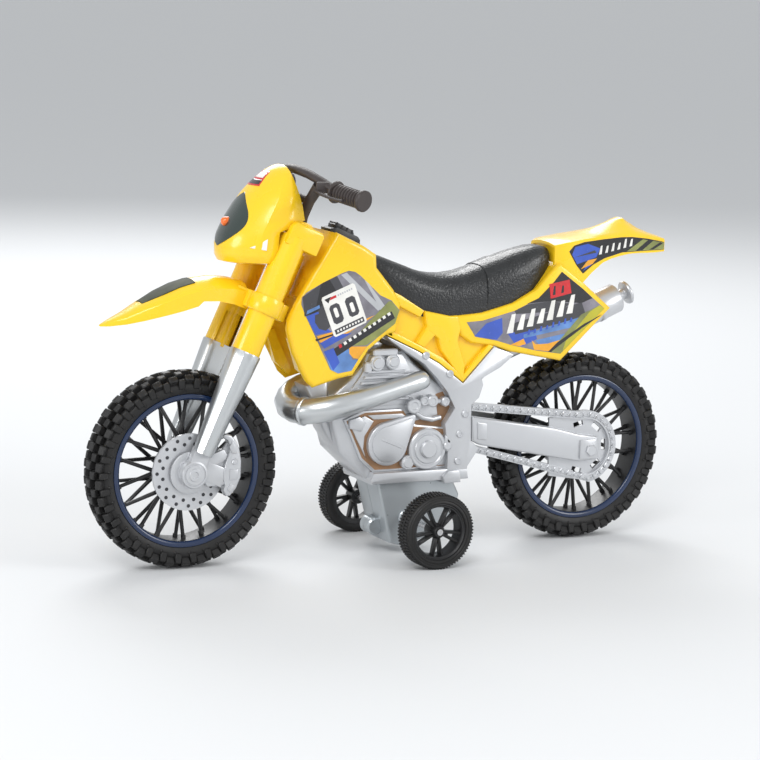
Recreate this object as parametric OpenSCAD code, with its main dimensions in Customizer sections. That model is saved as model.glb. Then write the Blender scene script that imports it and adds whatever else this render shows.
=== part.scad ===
// Off-road toy motorcycle with a friction drive, front steering and a sound button.
// +X is forward, +Y is the rider's left, +Z is up. The origin lies on the ground,
// half way between the two big wheels.

/* [Wheels] */
// Distance between the two big axles
wheel_base = 208; // [206:0.5:210]
// Outer radius of the big tyres over their knobs
tyre_r = 45.5; // [45:0.25:46]
// Half the width of the big tyres
tyre_half = 9; // [8.5:0.25:9.25]
// Knobs round each row of tread
knobs = 34; // [24:1:40]
// Crossed spoke pairs in each big wheel
spoke_pairs = 9; // [6:1:10]

/* [Fork] */
// Lean of the fork from upright, in degrees
rake = 23.6; // [23.2:0.1:24]
// Distance of each fork leg from the middle plane
leg_y = 15.5; // [15:0.25:16.5]
// Distance from the fork legs back to the steering axis
fork_offset = 9; // [8.5:0.25:9.25]

/* [Friction drive] */
// Radius of the small driven wheels
drive_r = 17.7; // [17:0.1:18]
// Distance of each small wheel from the middle plane
drive_y = 42.5; // [40:0.5:44]
// Gear module
gear_m = 0.7; // [0.69:0.005:0.71]
// Teeth of the gear on the drive axle
axle_teeth = 22; // [22:1:22]
// Teeth of the large idler wheel
idler_teeth = 24; // [24:1:24]
// Teeth of both pinions
pinion_teeth = 10; // [10:1:10]
// Play between meshing teeth
backlash = 0.16; // [0.12:0.02:0.24]

/* [Mouldings] */
// Wall thickness of the shells
wall = 1.6; // [1.4:0.1:1.8]
// Half the thickness of the yellow side shells at the shroud
shroud_half = 17; // [16.5:0.25:17.5]
// Half the thickness of the side panels
panel_half = 15.5; // [15:0.25:15.5]
// Half the thickness of the engine block
engine_half = 11; // [10.5:0.25:11]
// Half the thickness of the gearbox leg
leg_half = 12; // [11.5:0.25:12]
// Running clearance between a pin and its hole
fit = 0.06; // [0.03:0.01:0.09]

/* [Hidden] */
$fn = 48;

yellow = "#f5c518";
silver = "#c9ccd0";
chrome = "#dfe3e6";
black = "#1c1c1e";
dark = "#3c3838";
navy = "#24365e";
white = "#f2f2ee";

front_x = wheel_base / 2;
rear_x = -wheel_base / 2;
axle_r = 1.5;
rim_r = 35;
rim_inner_r = 32.6;
drive_pos = [-6.3, drive_r];
mesh_a = gear_m * (axle_teeth + pinion_teeth) / 2;
mesh_b = gear_m * (idler_teeth + pinion_teeth) / 2;
dir_a = 158;
dir_b = 40;
idler_pos = drive_pos + mesh_a * [cos(dir_a), sin(dir_a)];
fly_pos = idler_pos + mesh_b * [cos(dir_b), sin(dir_b)];
stem_r = 3.5;
crown_w = [79, 87];
clamp_w = [111.5, 123];
leg_top_w = 60;
button_top = [26.5, 152.5];

// ---- helpers -------------------------------------------------------------

// Extrudes a side-view outline (x, z) from y0 to y1.
module slab(y0, y1) {
    translate([0, y1, 0]) rotate([90, 0, 0]) linear_extrude(y1 - y0) children();
}

// A round bar or disc across the model.
module across(p, r, y0, y1) {
    translate([p[0], y1, p[1]]) rotate([90, 0, 0]) cylinder(r = r, h = y1 - y0);
}

// Places children in the fork's own frame: origin on the front axle, +Z up the legs.
module fork_frame() {
    translate([front_x, 0, tyre_r]) rotate([0, -rake, 0]) children();
}

module both_sides() {
    children();
    mirror([0, 1, 0]) children();
}

function unit(v) = v / norm(v);

// Moves every edge of a counter-clockwise outline inwards by d.
function inset(p, d) = [
    for (i = [0 : len(p) - 1])
        let (
            a = p[(i + len(p) - 1) % len(p)], b = p[i], c = p[(i + 1) % len(p)],
            u = unit(b - a), v = unit(c - b)
        )
        b + d * ([-u[1], u[0]] + [-v[1], v[0]]) / (1 + u * v)
];

function arc(c, r, a0, a1, n) = [
    for (i = [0 : n]) let (a = a0 + (a1 - a0) * i / n) c + r * [cos(a), sin(a)]
];

// Skins a list of rings that all have the same number of points. Each ring runs
// clockwise as seen looking from the first ring to the last.
module skin(rings) {
    n = len(rings[0]);
    last = len(rings) - 1;
    pts = [for (ring = rings) for (p = ring) p];
    sides = [
        for (j = [0 : last - 1]) for (i = [0 : n - 1])
            let (k = (i + 1) % n) for (t = [
                [j * n + k, j * n + i, (j + 1) * n + k],
                [(j + 1) * n + k, j * n + i, (j + 1) * n + i]
            ]) t
    ];
    low = [[for (i = [0 : n - 1]) i]];
    high = [[for (i = [n - 1 : -1 : 0]) last * n + i]];
    polyhedron(points = pts, faces = concat(sides, low, high));
}

// A side-view outline from y0 to y1 whose outer edge is chamfered by b.
module pillow(p, y0, y1, b) {
    top = inset(p, b);
    foot = y1 - b - 0.3;
    slab(y0, y1 - b) polygon(p);
    slab(y0, y1) polygon(top);
    for (i = [0 : len(p) - 1]) let (k = (i + 1) % len(p))
        skin([
            [for (q = [p[k], p[i], top[i], top[k]]) [q[0], foot, q[1]]],
            [
                [p[k][0], y1 - b, p[k][1]], [p[i][0], y1 - b, p[i][1]],
                [top[i][0], y1, top[i][1]], [top[k][0], y1, top[k][1]]
            ]
        ]);
}

// A ring of n points round p, square to direction d.
function ring_at(p, d, r, n) =
    let (
        side = unit(cross(d, abs(d[2]) < 0.9 * norm(d) ? [0, 0, 1] : [1, 0, 0])),
        up = unit(cross(side, d))
    )
    [for (i = [0 : n - 1]) let (a = -360 * i / n) p + r * (side * cos(a) + up * sin(a))];

// A tube of varying radius along a path; each entry is [point, radius].
module tube(path, n = 12) {
    last = len(path) - 1;
    skin([
        for (i = [0 : last])
            ring_at(path[i][0], path[min(i + 1, last)][0] - path[max(i - 1, 0)][0],
                path[i][1], n)
    ]);
}

// ---- outlines in side view -------------------------------------------------

shroud_outline = [
    [33.5, 86], [46, 82.5], [50, 86], [57, 99], [61, 112], [58, 122], [49, 137],
    [41, 149], [37, 154.5], [22, 147.5], [15.5, 143.5], [15, 137.4], [6, 127], [2, 120.4],
    [4, 106.9],
    [9, 105.7], [18, 98.9], [25.7, 87.4]
];
panel_outline = [
    [-86, 89.8], [-58, 95.3], [-49, 98.4], [-33, 81.7], [-20, 91.4], [-8, 97.9],
    [9, 105.9], [13, 118], [11, 129], [1.6, 124], [-10.5, 116.5], [-25, 113.5],
    [-42, 114.3], [-59, 118.4], [-71.4, 124.5], [-79, 132.5], [-83.6, 136.9],
    [-96.4, 128], [-113, 114.7]
];
engine_outline = [
    [-36.5, 35], [12, 35], [29, 50.5], [33, 63], [35, 76], [25.5, 84], [18.5, 91],
    [16.5, 97], [-3, 97.5], [-9, 91], [-28, 76], [-38, 70], [-38.5, 53], [-42, 49.5]
];
spar_outline = [
    [-36.5, 35], [-26, 35], [-26, 50], [-24, 62], [-29, 69.5], [-25, 77], [-19, 84],
    [-12, 91], [6, 102.6], [8.8, 105.3], [-8, 97.5], [-20, 91], [-33, 81.2], [-49, 98],
    [-57, 95.2], [-60, 93.6], [-53, 88], [-43, 83], [-44, 80], [-42, 74], [-38, 70.5],
    [-38.5, 53], [-43, 49.5], [-37, 41]
];
gearbox_outline = [
    [9.3, 40.3], [-31, 40.3], [-31, 35], [-35, 27], [-33.5, 20], [-26, 11], [-12, 5],
    [-4, 4.2], [1, 5.5], [9.3, 35]
];
shroud_decal = [
    [34, 89], [42, 101], [50, 114], [54, 123], [51, 127], [33, 135.5], [29, 136],
    [24, 134], [7.5, 122], [21, 100.5], [27.5, 90]
];
panel_decal = [
    [-34, 110.3], [-42, 110.8], [-59, 114.9], [-72, 120.5], [-80, 128], [-84.5, 133],
    [-96, 124.8], [-108.5, 114.4], [-85, 93.3], [-58, 98.6], [-45, 102.3]
];

// ---- engine and frame ------------------------------------------------------

screw_posts = [[22, 58], [-33, 60], [-92, 121], [-58, 107], [38, 104], [38, 140]];
engine_posts = [screw_posts[0], screw_posts[1]];
body_posts = [for (i = [2 : 5]) screw_posts[i]];

down_tube = [[28, 50], [35, 60], [41, 72], [45.8, 82.3], [33.6, 85.7], [33, 76], [31, 63]];

module engine_fins() {
    for (i = [0 : 4])
        translate([-3 + i * 0.6, 10.6, 77.5 + 2.7 * i]) cube([25 - 1.6 * i, 3.4, 1.2]);
}

module gearbox_pocket() {
    translate([-31.2, -leg_half - 0.2, 30]) cube([40.7, 2 * leg_half + 0.4, 10.5]);
}

module engine_relief() {
    slab(engine_half - 0.5, 15.5) polygon(spar_outline);
    slab(0, 15.5) polygon([[-37, 35], [13, 35], [13, 40.5], [-37, 40.5]]);
    slab(engine_half - 0.5, 12.6) polygon([
        [12, 40.4], [19, 47], [24, 58], [28, 66], [18, 70], [-2, 70], [-10, 62],
        [-25.5, 60], [-28, 40.4]
    ]);
    across([5.5, 54], 10.6, 12, 15);
    across([5.5, 54], 9.4, 14.5, 15.6);
    across([-15.5, 50.5], 9.8, 12, 15.4);
    across([-15.5, 50.5], 4.4, 15, 16.6);
    across([-5.3, 45.6], 3.4, 12, 14.6);
    across([22, 63.5], 3.6, 12, 14.4);
    across([-25.5, 51.5], 2, 12, 16.2);
    across([-8, 68.5], 4.2, 10.6, 14.6);
    across([-16, 71], 3, 10.6, 14);
    translate([-26, 10.6, 69.6]) cube([22, 2.6, 3]);
    engine_fins();
    across([3.5, 93.5], 3.6, 10.6, 13.6);
    across([11.5, 93], 4.2, 10.6, 13.8);
    for (p = [[-12.5, 95.2], [-25.5, 86], [-32, 57]]) across(p, 1.9, 15, 16.2);
    slab(0, 7) polygon(down_tube);
}

module engine_half_shell() {
    difference() {
        union() {
            slab(0.02, engine_half) polygon(engine_outline);
            engine_relief();
        }
        slab(-1, engine_half - wall) polygon(inset(engine_outline, wall));
        gearbox_pocket();
        translate([-200, -50, 0]) cube([400, 50.02, 200]);
    }
    for (p = engine_posts) across(p, 3, 0.02, engine_half - wall + 0.3);
}

module engine_left() {
    color(silver) difference() {
        engine_half_shell();
        for (p = engine_posts) across(p, 1.15, -1, 7);
    }
}

door_low = [-16, 43];
door_size = [22, 18];

module engine_right() {
    color(silver) difference() {
        mirror([0, 1, 0]) engine_half_shell();
        for (p = engine_posts) {
            across(p, 1.35, -20, 1);
            across(p, 2.6, -20, -9.4);
        }
        slab(-20, -9) polygon([
            door_low, door_low + [door_size[0], 0], door_low + door_size,
            door_low + [0, door_size[1]]
        ]);
    }
}

module battery_door() {
    gap = 0.15;
    color(silver) difference() {
        union() {
            slab(-12.4, -9.2) polygon([
                door_low + [gap, gap], door_low + [door_size[0] - gap, gap],
                door_low + door_size - [gap, gap], door_low + [gap, door_size[1] - gap]
            ]);
            for (i = [0 : 3]) translate([-13 + 4 * i, -13, 46.5]) cube([1.6, 1, 11]);
        }
        across([3.6, 52], 1.1, -14, -9);
        across([3.6, 52], 1.9, -14, -11.4);
    }
}

module battery_door_screw() {
    color(chrome) {
        across([3.6, 52], 1.8, -12.7, -11.4);
        across([3.6, 52], 1.05, -11.4, -6);
    }
}

module button_cells() {
    color(chrome) for (i = [-1 : 1]) across([-5, 50], 5.8, 5.5 * i - 3.68, 5.5 * i + 1.62);
}

module circuit_board() {
    color("#2c6b3f") translate([-7, 7.7, 67]) cube([22, 1.6, 22]);
    color(black) translate([-2, 6.3, 72]) cube([7, 1.4, 7]);
    color(black) across([10, 74], 2.5, 3.3, 7.7);
}

module speaker() {
    color(dark) {
        across([24, 118], 10, 11.8, 14.78);
        across([24, 118], 6.5, 8.4, 11.8);
    }
}

module body_screws() {
    color(chrome) for (p = screw_posts) {
        seat_y = p[1] < 62 ? -9.4 : -panel_half + 3.2;
        across(p, 2.3, seat_y - 1.5, seat_y);
        across(p, 1.15, seat_y, 6);
    }
}

// ---- swingarm, chain guard and rear axle ------------------------------------

arm_outline = [
    [-98, 40], [-82, 43.2], [-43.2, 51], [-38.7, 53.2], [-38.2, 65], [-84, 57.3], [-98, 53.5],
    [-108, 52], [-109.5, 46], [-108, 40.5]
];

module arm_plate() {
    slab(12, 16.5) polygon(arm_outline);
    translate([rear_x - 3, 16.5, tyre_r - 4.5]) cube([9, 0.8, 9.5]);
    across([rear_x, tyre_r], 3, 16.5, 18.2);
}

module arm_bore() {
    across([rear_x, tyre_r], axle_r, 0, 17.2);
}

module swingarm_left() {
    color(silver) difference() {
        arm_plate();
        arm_bore();
    }
}

module swingarm_right() {
    color(silver) mirror([0, 1, 0]) difference() {
        union() {
            arm_plate();
            across([rear_x, tyre_r], 12, 12, 14);
        }
        arm_bore();
    }
}

chain_end = [rear_x + 1.5, tyre_r + 1];
chain_r = 18;
chain_nose = [[-38.8, 71.2], [-38.8, 47.8]];

function chain_loop(r, nose) = concat(
    [nose[0]], arc(chain_end, r, 80, 258, 20), [nose[1]]
);

module chain_guard() {
    band = 4;
    color(silver) difference() {
        union() {
            difference() {
                slab(10.4, 13.6) polygon(chain_loop(chain_r, chain_nose));
                slab(10, 14) polygon(chain_loop(chain_r - band,
                    [chain_nose[0] + [0, -3.6], chain_nose[1] + [0, 3.6]]));
            }
            slab(10.6, 11.95) polygon(concat(
                [[-83, 61.5]], arc(chain_end, chain_r - 1, 80, 262, 20), [[-84, 33]]
            ));
        }
        across([rear_x, tyre_r], axle_r + 0.02, 0, 20);
        for (a = [25, 75, 128, 178, 230, 285])
            translate([chain_end[0], 9, chain_end[1]]) rotate([0, -a, 0])
                translate([10.5, 0, -2.7]) cube([2.4, 6, 5.4]);
    }
}

module rear_axle() {
    color(chrome) across([rear_x, tyre_r], axle_r, -17.2, 17.2);
}

// ---- exhaust ----------------------------------------------------------------

module engine_envelope() {
    both_sides() {
        slab(0, engine_half + 0.02) polygon(engine_outline);
        slab(engine_half - 0.5, 15.52) polygon(spar_outline);
        slab(0, 7.02) polygon(down_tube);
        engine_fins();
    }
}

module exhaust_header() {
    color(chrome) difference() {
        header_pipe();
        engine_envelope();
    }
}

module header_pipe() {
    tube([
        [[-12, 14.2, 84], 2.9], [[-3, 15.6, 82.2], 3.6], [[10, 16.2, 79], 4.4],
        [[24, 16.2, 75.4], 5], [[36, 15.2, 72.2], 5.6], [[44, 12, 70.4], 6],
        [[48.5, 6, 69.8], 6], [[49.8, -1, 70.8], 6], [[47.4, -7, 73.4], 5.6],
        [[43, -10.6, 77], 5], [[35, -12.4, 80.4], 4.4]
    ], 16);
}

module silencer() {
    start = [-56, 5.4, 91.5];
    finish = [-121, 6.6, 118.5];
    d = unit(finish - start);
    color(silver) {
        tube([
            [[-32.5, 5, 71], 3], [[-46, 5, 83.4], 3], [start, 3], [start + 16 * d, 3.2],
            [start + 26 * d, 5.4],
            [start + 34 * d, 6.8], [finish, 7], [finish + 0.6 * d, 6.2]
        ], 20);
        tube([
            [finish + 0.3 * d, 2.6], [finish + 5 * d, 2.6], [finish + 5.4 * d, 5.6],
            [finish + 6.6 * d, 5.6], [finish + 7 * d, 4.8]
        ], 20);
    }
}

// ---- friction drive ----------------------------------------------------------

function involute(rb, r) = let (a = acos(rb / r)) tan(a) * 180 / PI - a;

// Outline of a spur gear with one tooth centred on angle 0.
function gear_points(z) =
    let (
        r = gear_m * z / 2, rb = r * cos(25), ra = r + 0.8 * gear_m,
        rf = r - 1.0 * gear_m, r0 = max(rb, rf) + 0.01,
        half = 90 / z - backlash / 4 / r * 180 / PI + involute(rb, r)
    )
    [
        for (t = [0 : z - 1]) let (c = 360 * t / z) each concat(
            [rf * [cos(c - half), sin(c - half)]],
            [for (i = [0 : 4]) let (q = r0 + (ra - r0) * i / 4, a = c - half + involute(rb, q))
                q * [cos(a), sin(a)]],
            [for (i = [4 : -1 : 0]) let (q = r0 + (ra - r0) * i / 4, a = c + half - involute(rb, q))
                q * [cos(a), sin(a)]],
            [rf * [cos(c + half), sin(c + half)]]
        )
    ];

module gear(p, z, turn, y0, y1) {
    slab(y0, y1) translate(p) rotate(turn) polygon(gear_points(z));
}

gearbox_posts = [[5.4, 12.4], [-30, 22.5]];

module gearbox_half() {
    difference() {
        union() {
            difference() {
                slab(0.02, leg_half) polygon(gearbox_outline);
                slab(-1, leg_half - wall) polygon(inset(gearbox_outline, wall));
            }
            across(drive_pos, 4, 8.6, leg_half + 1.6);
            across(idler_pos, 3, 8.2, leg_half - 0.4);
            across(fly_pos, 3, 9.4, leg_half - 0.4);
            across(gearbox_posts[0], 4.2, 0.02, 4.6);
            across(gearbox_posts[1], 3, 0.02, leg_half - 0.4);
        }
        across(drive_pos, axle_r + fit, 0, 20);
        across(fly_pos, 1 + fit, 0, leg_half - 0.8);
    }
}

module gearbox_left() {
    color(silver) difference() {
        gearbox_half();
        across(idler_pos, 1, 0, leg_half - 0.8);
        across(gearbox_posts[0], 1.1, -1, 4);
        across(gearbox_posts[1], 1.1, -1, 8);
    }
}

module gearbox_right() {
    color(silver) mirror([0, 1, 0]) difference() {
        gearbox_half();
        across(idler_pos, 1, 0, leg_half - 0.8);
        for (p = gearbox_posts) across(p, 1.3, -1, 20);
        across(gearbox_posts[0], 2.4, 3.2, 20);
        across(gearbox_posts[1], 2.4, 8, 20);
    }
}

module gearbox_screws() {
    color(chrome) {
        across(gearbox_posts[0], 2.2, -4.6, -3.2);
        across(gearbox_posts[0], 1.1, -3.2, 4);
        across(gearbox_posts[1], 2.2, -9.4, -8);
        across(gearbox_posts[1], 1.1, -8, 8);
    }
}

module idler_shaft() {
    color(chrome) across(idler_pos, 1, -leg_half + 0.8, leg_half - 0.8);
}

module drive_axle() {
    color(chrome) across(drive_pos, axle_r, -drive_y - 4.6, drive_y + 4.6);
}

module drive_gear() {
    color(white) difference() {
        union() {
            gear(drive_pos, axle_teeth, dir_a, -1.5, 1.5);
            across(drive_pos, 3, -4, 2);
        }
        across(drive_pos, axle_r, -5, 5);
    }
}

module idler_gear() {
    turn_small = dir_a + 180 + 180 / pinion_teeth;
    color(white) difference() {
        union() {
            gear(idler_pos, pinion_teeth, turn_small, -2, 2.6);
            gear(idler_pos, idler_teeth, dir_b, 2.5, 5);
            across(idler_pos, 2.4, -7.6, 7.6);
        }
        across(idler_pos, 1 + fit, -9, 9);
    }
}

module flywheel() {
    turn = dir_b + 180 + 180 / pinion_teeth;
    color(silver) {
        gear(fly_pos, pinion_teeth, turn, 2.2, 5.4);
        across(fly_pos, 8.2, -7.4, -3);
        across(fly_pos, 2.2, -3.2, 2.4);
        across(fly_pos, 1, -leg_half + 1.2, leg_half - 1.2);
    }
}

// A window between two spokes of half width g whose centre lines are at angles a0 and a1.
function window(a0, a1, r0, r1, g) = concat(
    arc([0, 0], r1, a0 + asin(g / r1), a1 - asin(g / r1), 6),
    arc([0, 0], r0, a1 - asin(g / r0), a0 + asin(g / r0), 3)
);

module small_wheels() {
    width = 4.6;
    color(black) both_sides() difference() {
        union() {
            translate([drive_pos[0], drive_y + width, drive_pos[1]]) rotate([90, 0, 0])
                rotate_extrude() polygon([[11.6, 0.8], [13.4, 0.4], [13.4, 8.8], [11.6, 8.4]]);
            across(drive_pos, 12.3, drive_y - 0.8, drive_y + 3);
            across(drive_pos, 3.6, drive_y - width, drive_y + width - 0.6);
            across(drive_pos, 2.6, drive_y, drive_y + width);
        }
        for (i = [0 : 4]) slab(drive_y - 2, drive_y + 5) translate(drive_pos) rotate(72 * i + 18) {
            polygon(window(-12, 12, 5.6, 11.3, 0.9));
            polygon(window(12, 60, 5, 11.3, 0.9));
        }
        across(drive_pos, axle_r, 0, drive_y + 4.6);
    }
}

module small_tyres() {
    color(black) both_sides()
        translate([drive_pos[0], drive_y + 5.15, drive_pos[1]]) rotate([90, 0, 0])
            difference() {
                rotate_extrude() polygon([
                    [13.4, 0.6], [16.2, 0], [17.3, 1.1], [17.3, 9.2], [16.2, 10.3], [13.4, 9.7]
                ]);
                translate([0, 0, -1]) cylinder(r = 13.4, h = 12);
            }
    color(black) both_sides() slab(drive_y - 3.9, drive_y + 3.9)
        translate(drive_pos) difference() {
            polygon([for (i = [0 : 143]) let (a = 2.5 * i, r = i % 2 == 0 ? drive_r : 17.2)
                r * [cos(a), sin(a)]]);
            circle(r = 16.6);
        }
}

// ---- yellow body ---------------------------------------------------------------

module body_half() {
    difference() {
        union() {
            pillow(shroud_outline, -2, shroud_half, 2.5);
            pillow(panel_outline, -3, panel_half, 1.6);
        }
        slab(-5, shroud_half - wall - 0.6) polygon(inset(shroud_outline, wall));
        slab(-6, panel_half - wall) polygon(inset(panel_outline, wall));
        // the silencer leaves through the open back of the side panels
        slab(-7, panel_half - wall - 0.1) polygon([
            [-46, 85], [-46, 104], [-84, 100], [-100, 118], [-98, 131], [-130, 131], [-130, 85]
        ]);
        // the two shroud wings stand apart at the front
        slab(-8, shroud_half - wall - 0.7) polygon([
            [36, 78], [70, 95], [70, 118], [50, 118], [46, 104], [38, 90]
        ]);
        slab(14.5, 20) polygon([[-4, 104], [-14, 110], [-17, 98]]);
        slab(14.5, 20) polygon([[-22, 99], [-32.6, 85.5], [-44, 98.5], [-32, 101.5]]);
        // the swinging fork passes close to the front of the shroud
        fork_frame() translate([-12.5, 11.6, 60]) cube([30, 20, 80]);
        head_space();
        button_space();
        translate([-200, -50, 0]) cube([400, 50.02, 200]);
    }
    for (p = body_posts) across(p, 3, 0.02, (p[0] > 0 ? shroud_half - 0.6 : panel_half) - wall + 0.2);
    slab(0.02, shroud_half - wall - 0.4) polygon([[20, 138.6], [33, 138.6], [33, 140.15], [20, 140.15]]);
}

module head_space() {
    swing = 8.9;
    fork_frame() {
        translate([-fork_offset, 0, 86]) cylinder(r = 6.6, h = 26);
        translate([-fork_offset - swing, -30, clamp_w[0] - 0.5]) cube([40, 60, 40]);
        translate([-fork_offset - swing, -30, crown_w[0] - 0.6]) cube([40, 60, 9.1]);
    }
}

module button_space() {
    translate([button_top[0] - 8.3, -5.3, 140.2]) cube([16.6, 10.6, 30]);
}

module body_left() {
    color(yellow) difference() {
        body_half();
        for (p = body_posts) across(p, 1.15, -1, 7);
    }
}

module body_right() {
    color(yellow) difference() {
        mirror([0, 1, 0]) body_half();
        for (p = body_posts) {
            across(p, 1.35, -20, 1);
            across(p, 2.6, -20, -panel_half + 3.2);
        }
    }
}

module head_tube() {
    color(yellow) fork_frame() difference() {
        translate([-fork_offset, 0, crown_w[1] + 0.2])
            cylinder(r = 6.5, h = clamp_w[0] - crown_w[1] - 0.4);
        translate([-fork_offset, 0, 80]) cylinder(r = stem_r + fit, h = 40);
    }
}

// Cross-sections of the seat: [x, half width, underside, top]
seat_sections = [
    [15, 8, 137.5, 143.4], [8, 11, 131, 141.6], [-4, 13, 120.5, 137], [-16, 13.6, 115.8, 133],
    [-28, 13.8, 114.2, 132], [-42, 13.8, 115, 134.6], [-57, 13.6, 118.8, 139.6],
    [-69, 12.6, 124.4, 143.3], [-77, 11, 131.4, 144.8], [-81.5, 8, 136.6, 143.8]
];

function seat_ring(s) = let (x = s[0], w = s[1], z0 = s[2], z1 = s[3], h = z1 - z0) [
    [x, -w, z0], [x, -w, z0 + 0.55 * h], [x, -0.86 * w, z0 + 0.82 * h],
    [x, -0.5 * w, z0 + 0.96 * h], [x, 0, z1], [x, 0.5 * w, z0 + 0.96 * h],
    [x, 0.86 * w, z0 + 0.82 * h], [x, w, z0 + 0.55 * h], [x, w, z0]
];

module seat() {
    color(black) difference() {
        skin([for (s = seat_sections) seat_ring(s)]);
        slab(-30, 30) polygon(inset(shroud_outline, -0.1));
        slab(-30, 30) polygon(inset(panel_outline, -0.1));
    }
}

// Cross-sections of the tail: [x, half width, ridge, edge, lower edge]
tail_sections = [
    [-84.4, 9, 147.2, 146, 135.5], [-90, 12, 148, 146.8, 131], [-97, 13, 149, 148, 127],
    [-108, 14, 151, 149.4, 136.7], [-118, 14, 154.4, 150, 139.8], [-124.7, 14, 157, 150.4, 140.8],
    [-133, 14, 152.2, 149.4, 140.9], [-143, 13.5, 148.6, 147.6, 141]
];

function tail_ring(s) = let (x = s[0], w = s[1], t = 1.5) [
    [x, -w, s[4]], [x, -w, s[3]], [x, -0.55 * w, (s[2] + s[3]) / 2 + 0.3], [x, 0, s[2]],
    [x, 0.55 * w, (s[2] + s[3]) / 2 + 0.3], [x, w, s[3]], [x, w, s[4]],
    [x, w - t, s[4]], [x, w - t, s[3] - t], [x, 0, s[2] - t], [x, -w + t, s[3] - t],
    [x, -w + t, s[4]]
];

module rear_fender() {
    color(yellow) difference() {
        union() {
            skin([for (s = tail_sections) tail_ring(s)]);
            translate([-96, -12.2, 138]) cube([5, 24.4, 6]);
        }
        both_sides() slab(-0.1, 20) polygon(panel_outline);
    }
}

module shroud_decals() {
    color(dark) both_sides()
        slab(shroud_half + 0.01, shroud_half + 0.26) difference() {
            polygon(shroud_decal);
            translate([27, 117]) rotate(22) square([17.4, 20.4], center = true);
        }
}

module number_plates() {
    color(white) both_sides() slab(shroud_half + 0.01, shroud_half + 0.31)
        translate([27, 117]) rotate(22) square([17, 20], center = true);
}

module panel_decals() {
    color("#7a7f99") both_sides() slab(panel_half + 0.01, panel_half + 0.26)
        polygon(panel_decal);
}

module tail_decals() {
    color(dark) both_sides() slab(14.02, 14.25) polygon([
        [-101, 138], [-108, 141.5], [-118, 143], [-141, 143], [-139, 147], [-118, 149],
        [-104, 147.6]
    ]);
}

module button_spring() {
    turns = 4;
    low = 141.4;
    color(chrome) tube([
        for (i = [0 : 12 * turns]) let (a = 30 * i)
            [[button_top[0] + 2.6 * cos(a), 2.6 * sin(a), low + 5.6 * i / 12 / turns], 0.35]
    ], 6);
    color(chrome) translate([button_top[0], 0, low - 1.2]) cylinder(r = 3, h = 0.9);
}

module sound_button() {
    color(black) translate([button_top[0], 0, 0]) {
        slab(-5, 5) polygon([[-8, 144], [-3.5, 147.6], [8, 147.6], [8, 154.6], [4, 155.2], [-7, 150.4], [-8, 149]]);
        slab(-3.6, 3.6) polygon([[-6, 150], [6, 150], [5, 156.2], [2.6, 156.6], [-5, 152.8]]);
    }
}

// ---- fork, in its own frame -------------------------------------------------------

module crown_plate(w, front, back, half) {
    translate([-back, -half, w[0]]) cube([front + back, 2 * half, w[1] - w[0]]);
}

module fork_crown() {
    color(yellow) fork_frame() difference() {
        union() {
            crown_plate(crown_w, 9, 14, 12);
            both_sides() translate([0, leg_y, crown_w[0]]) cylinder(r = 7.6, h = 8);
            translate([0, -10, crown_w[0]]) cube([13.5, 20, 8]);
        }
        both_sides() translate([0, leg_y, 70]) cylinder(r = 6.52, h = 30);
        translate([-fork_offset, 0, 70]) cylinder(r = stem_r - 0.4, h = 30);
    }
}

module top_clamp() {
    color(yellow) fork_frame() difference() {
        crown_plate(clamp_w, 5.5, 11.5, 21.5);
        both_sides() translate([0, leg_y, 100]) cylinder(r = 6.52, h = 17);
        translate([-fork_offset, 0, 100]) cylinder(r = stem_r - 0.4, h = 30);
    }
}

module fork_tube() {
    fork_frame() difference() {
        translate([0, leg_y, leg_top_w + 0.1]) cylinder(r = 6.5, h = 56.6);
        translate([-3.8, 0, leg_top_w - 1]) cube([7.6, leg_y - 2, 18]);
        translate([-3.8, 0, crown_w[1] + 0.6]) cube([7.6, leg_y - 2, 22]);
    }
}

module fork_tube_left() {
    color(yellow) fork_tube();
}

module fork_tube_right() {
    color(yellow) mirror([0, 1, 0]) fork_tube();
}

module fork_leg() {
    difference() {
        fork_frame() {
            translate([0, leg_y, 8]) cylinder(r1 = 4.7, r2 = 7.3, h = leg_top_w - 8);
            translate([0, leg_y, 8]) cylinder(r = 4.7, h = 6);
        }
        translate([60, -1, 20]) cube([80, 11.2, 120]);
    }
    difference() {
        union() {
            across([front_x, tyre_r], 6.4, 12.2, 17.2);
            across([front_x, tyre_r], 4.2, 17, 18.2);
            fork_frame() translate([-4.6, 12.2, 0]) cube([9.2, 5, 12]);
        }
        across([front_x, tyre_r], axle_r, 0, 16.6);
    }
}

module fork_leg_left() {
    color(chrome) fork_leg();
}

module fork_leg_right() {
    color(chrome) mirror([0, 1, 0]) fork_leg();
}

module brake_caliper() {
    color(silver) slab(12.3, 15.2) difference() {
        polygon([
            [101, 50.6], [91, 53], [89.4, 55.5], [93, 60], [88.5, 61.5], [82.5, 57.5],
            [79.5, 50], [79.6, 42], [83, 36.5], [87, 31.6], [91, 34.5], [91.5, 38.5],
            [101, 40.4]
        ]);
        translate([front_x, tyre_r]) circle(r = 6.4);
        translate([front_x, tyre_r]) rotate(rake) translate([-4.6, -60]) square([60, 120]);
    }
}

module front_axle() {
    color(chrome) across([front_x, tyre_r], axle_r, -16.6, 16.6);
}

module steering_stem() {
    color(chrome) fork_frame() translate([-fork_offset, 0, 0]) {
        translate([0, 0, crown_w[0] + 0.5]) cylinder(r = stem_r - 0.4, h = 7.5);
        translate([0, 0, crown_w[1]]) cylinder(r = stem_r, h = clamp_w[0] - crown_w[1]);
        translate([0, 0, clamp_w[0]]) cylinder(r = stem_r - 0.4, h = clamp_w[1] - clamp_w[0]);
        translate([0, 0, clamp_w[1]]) cylinder(r = 2.6, h = 1.2);
    }
}

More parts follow.
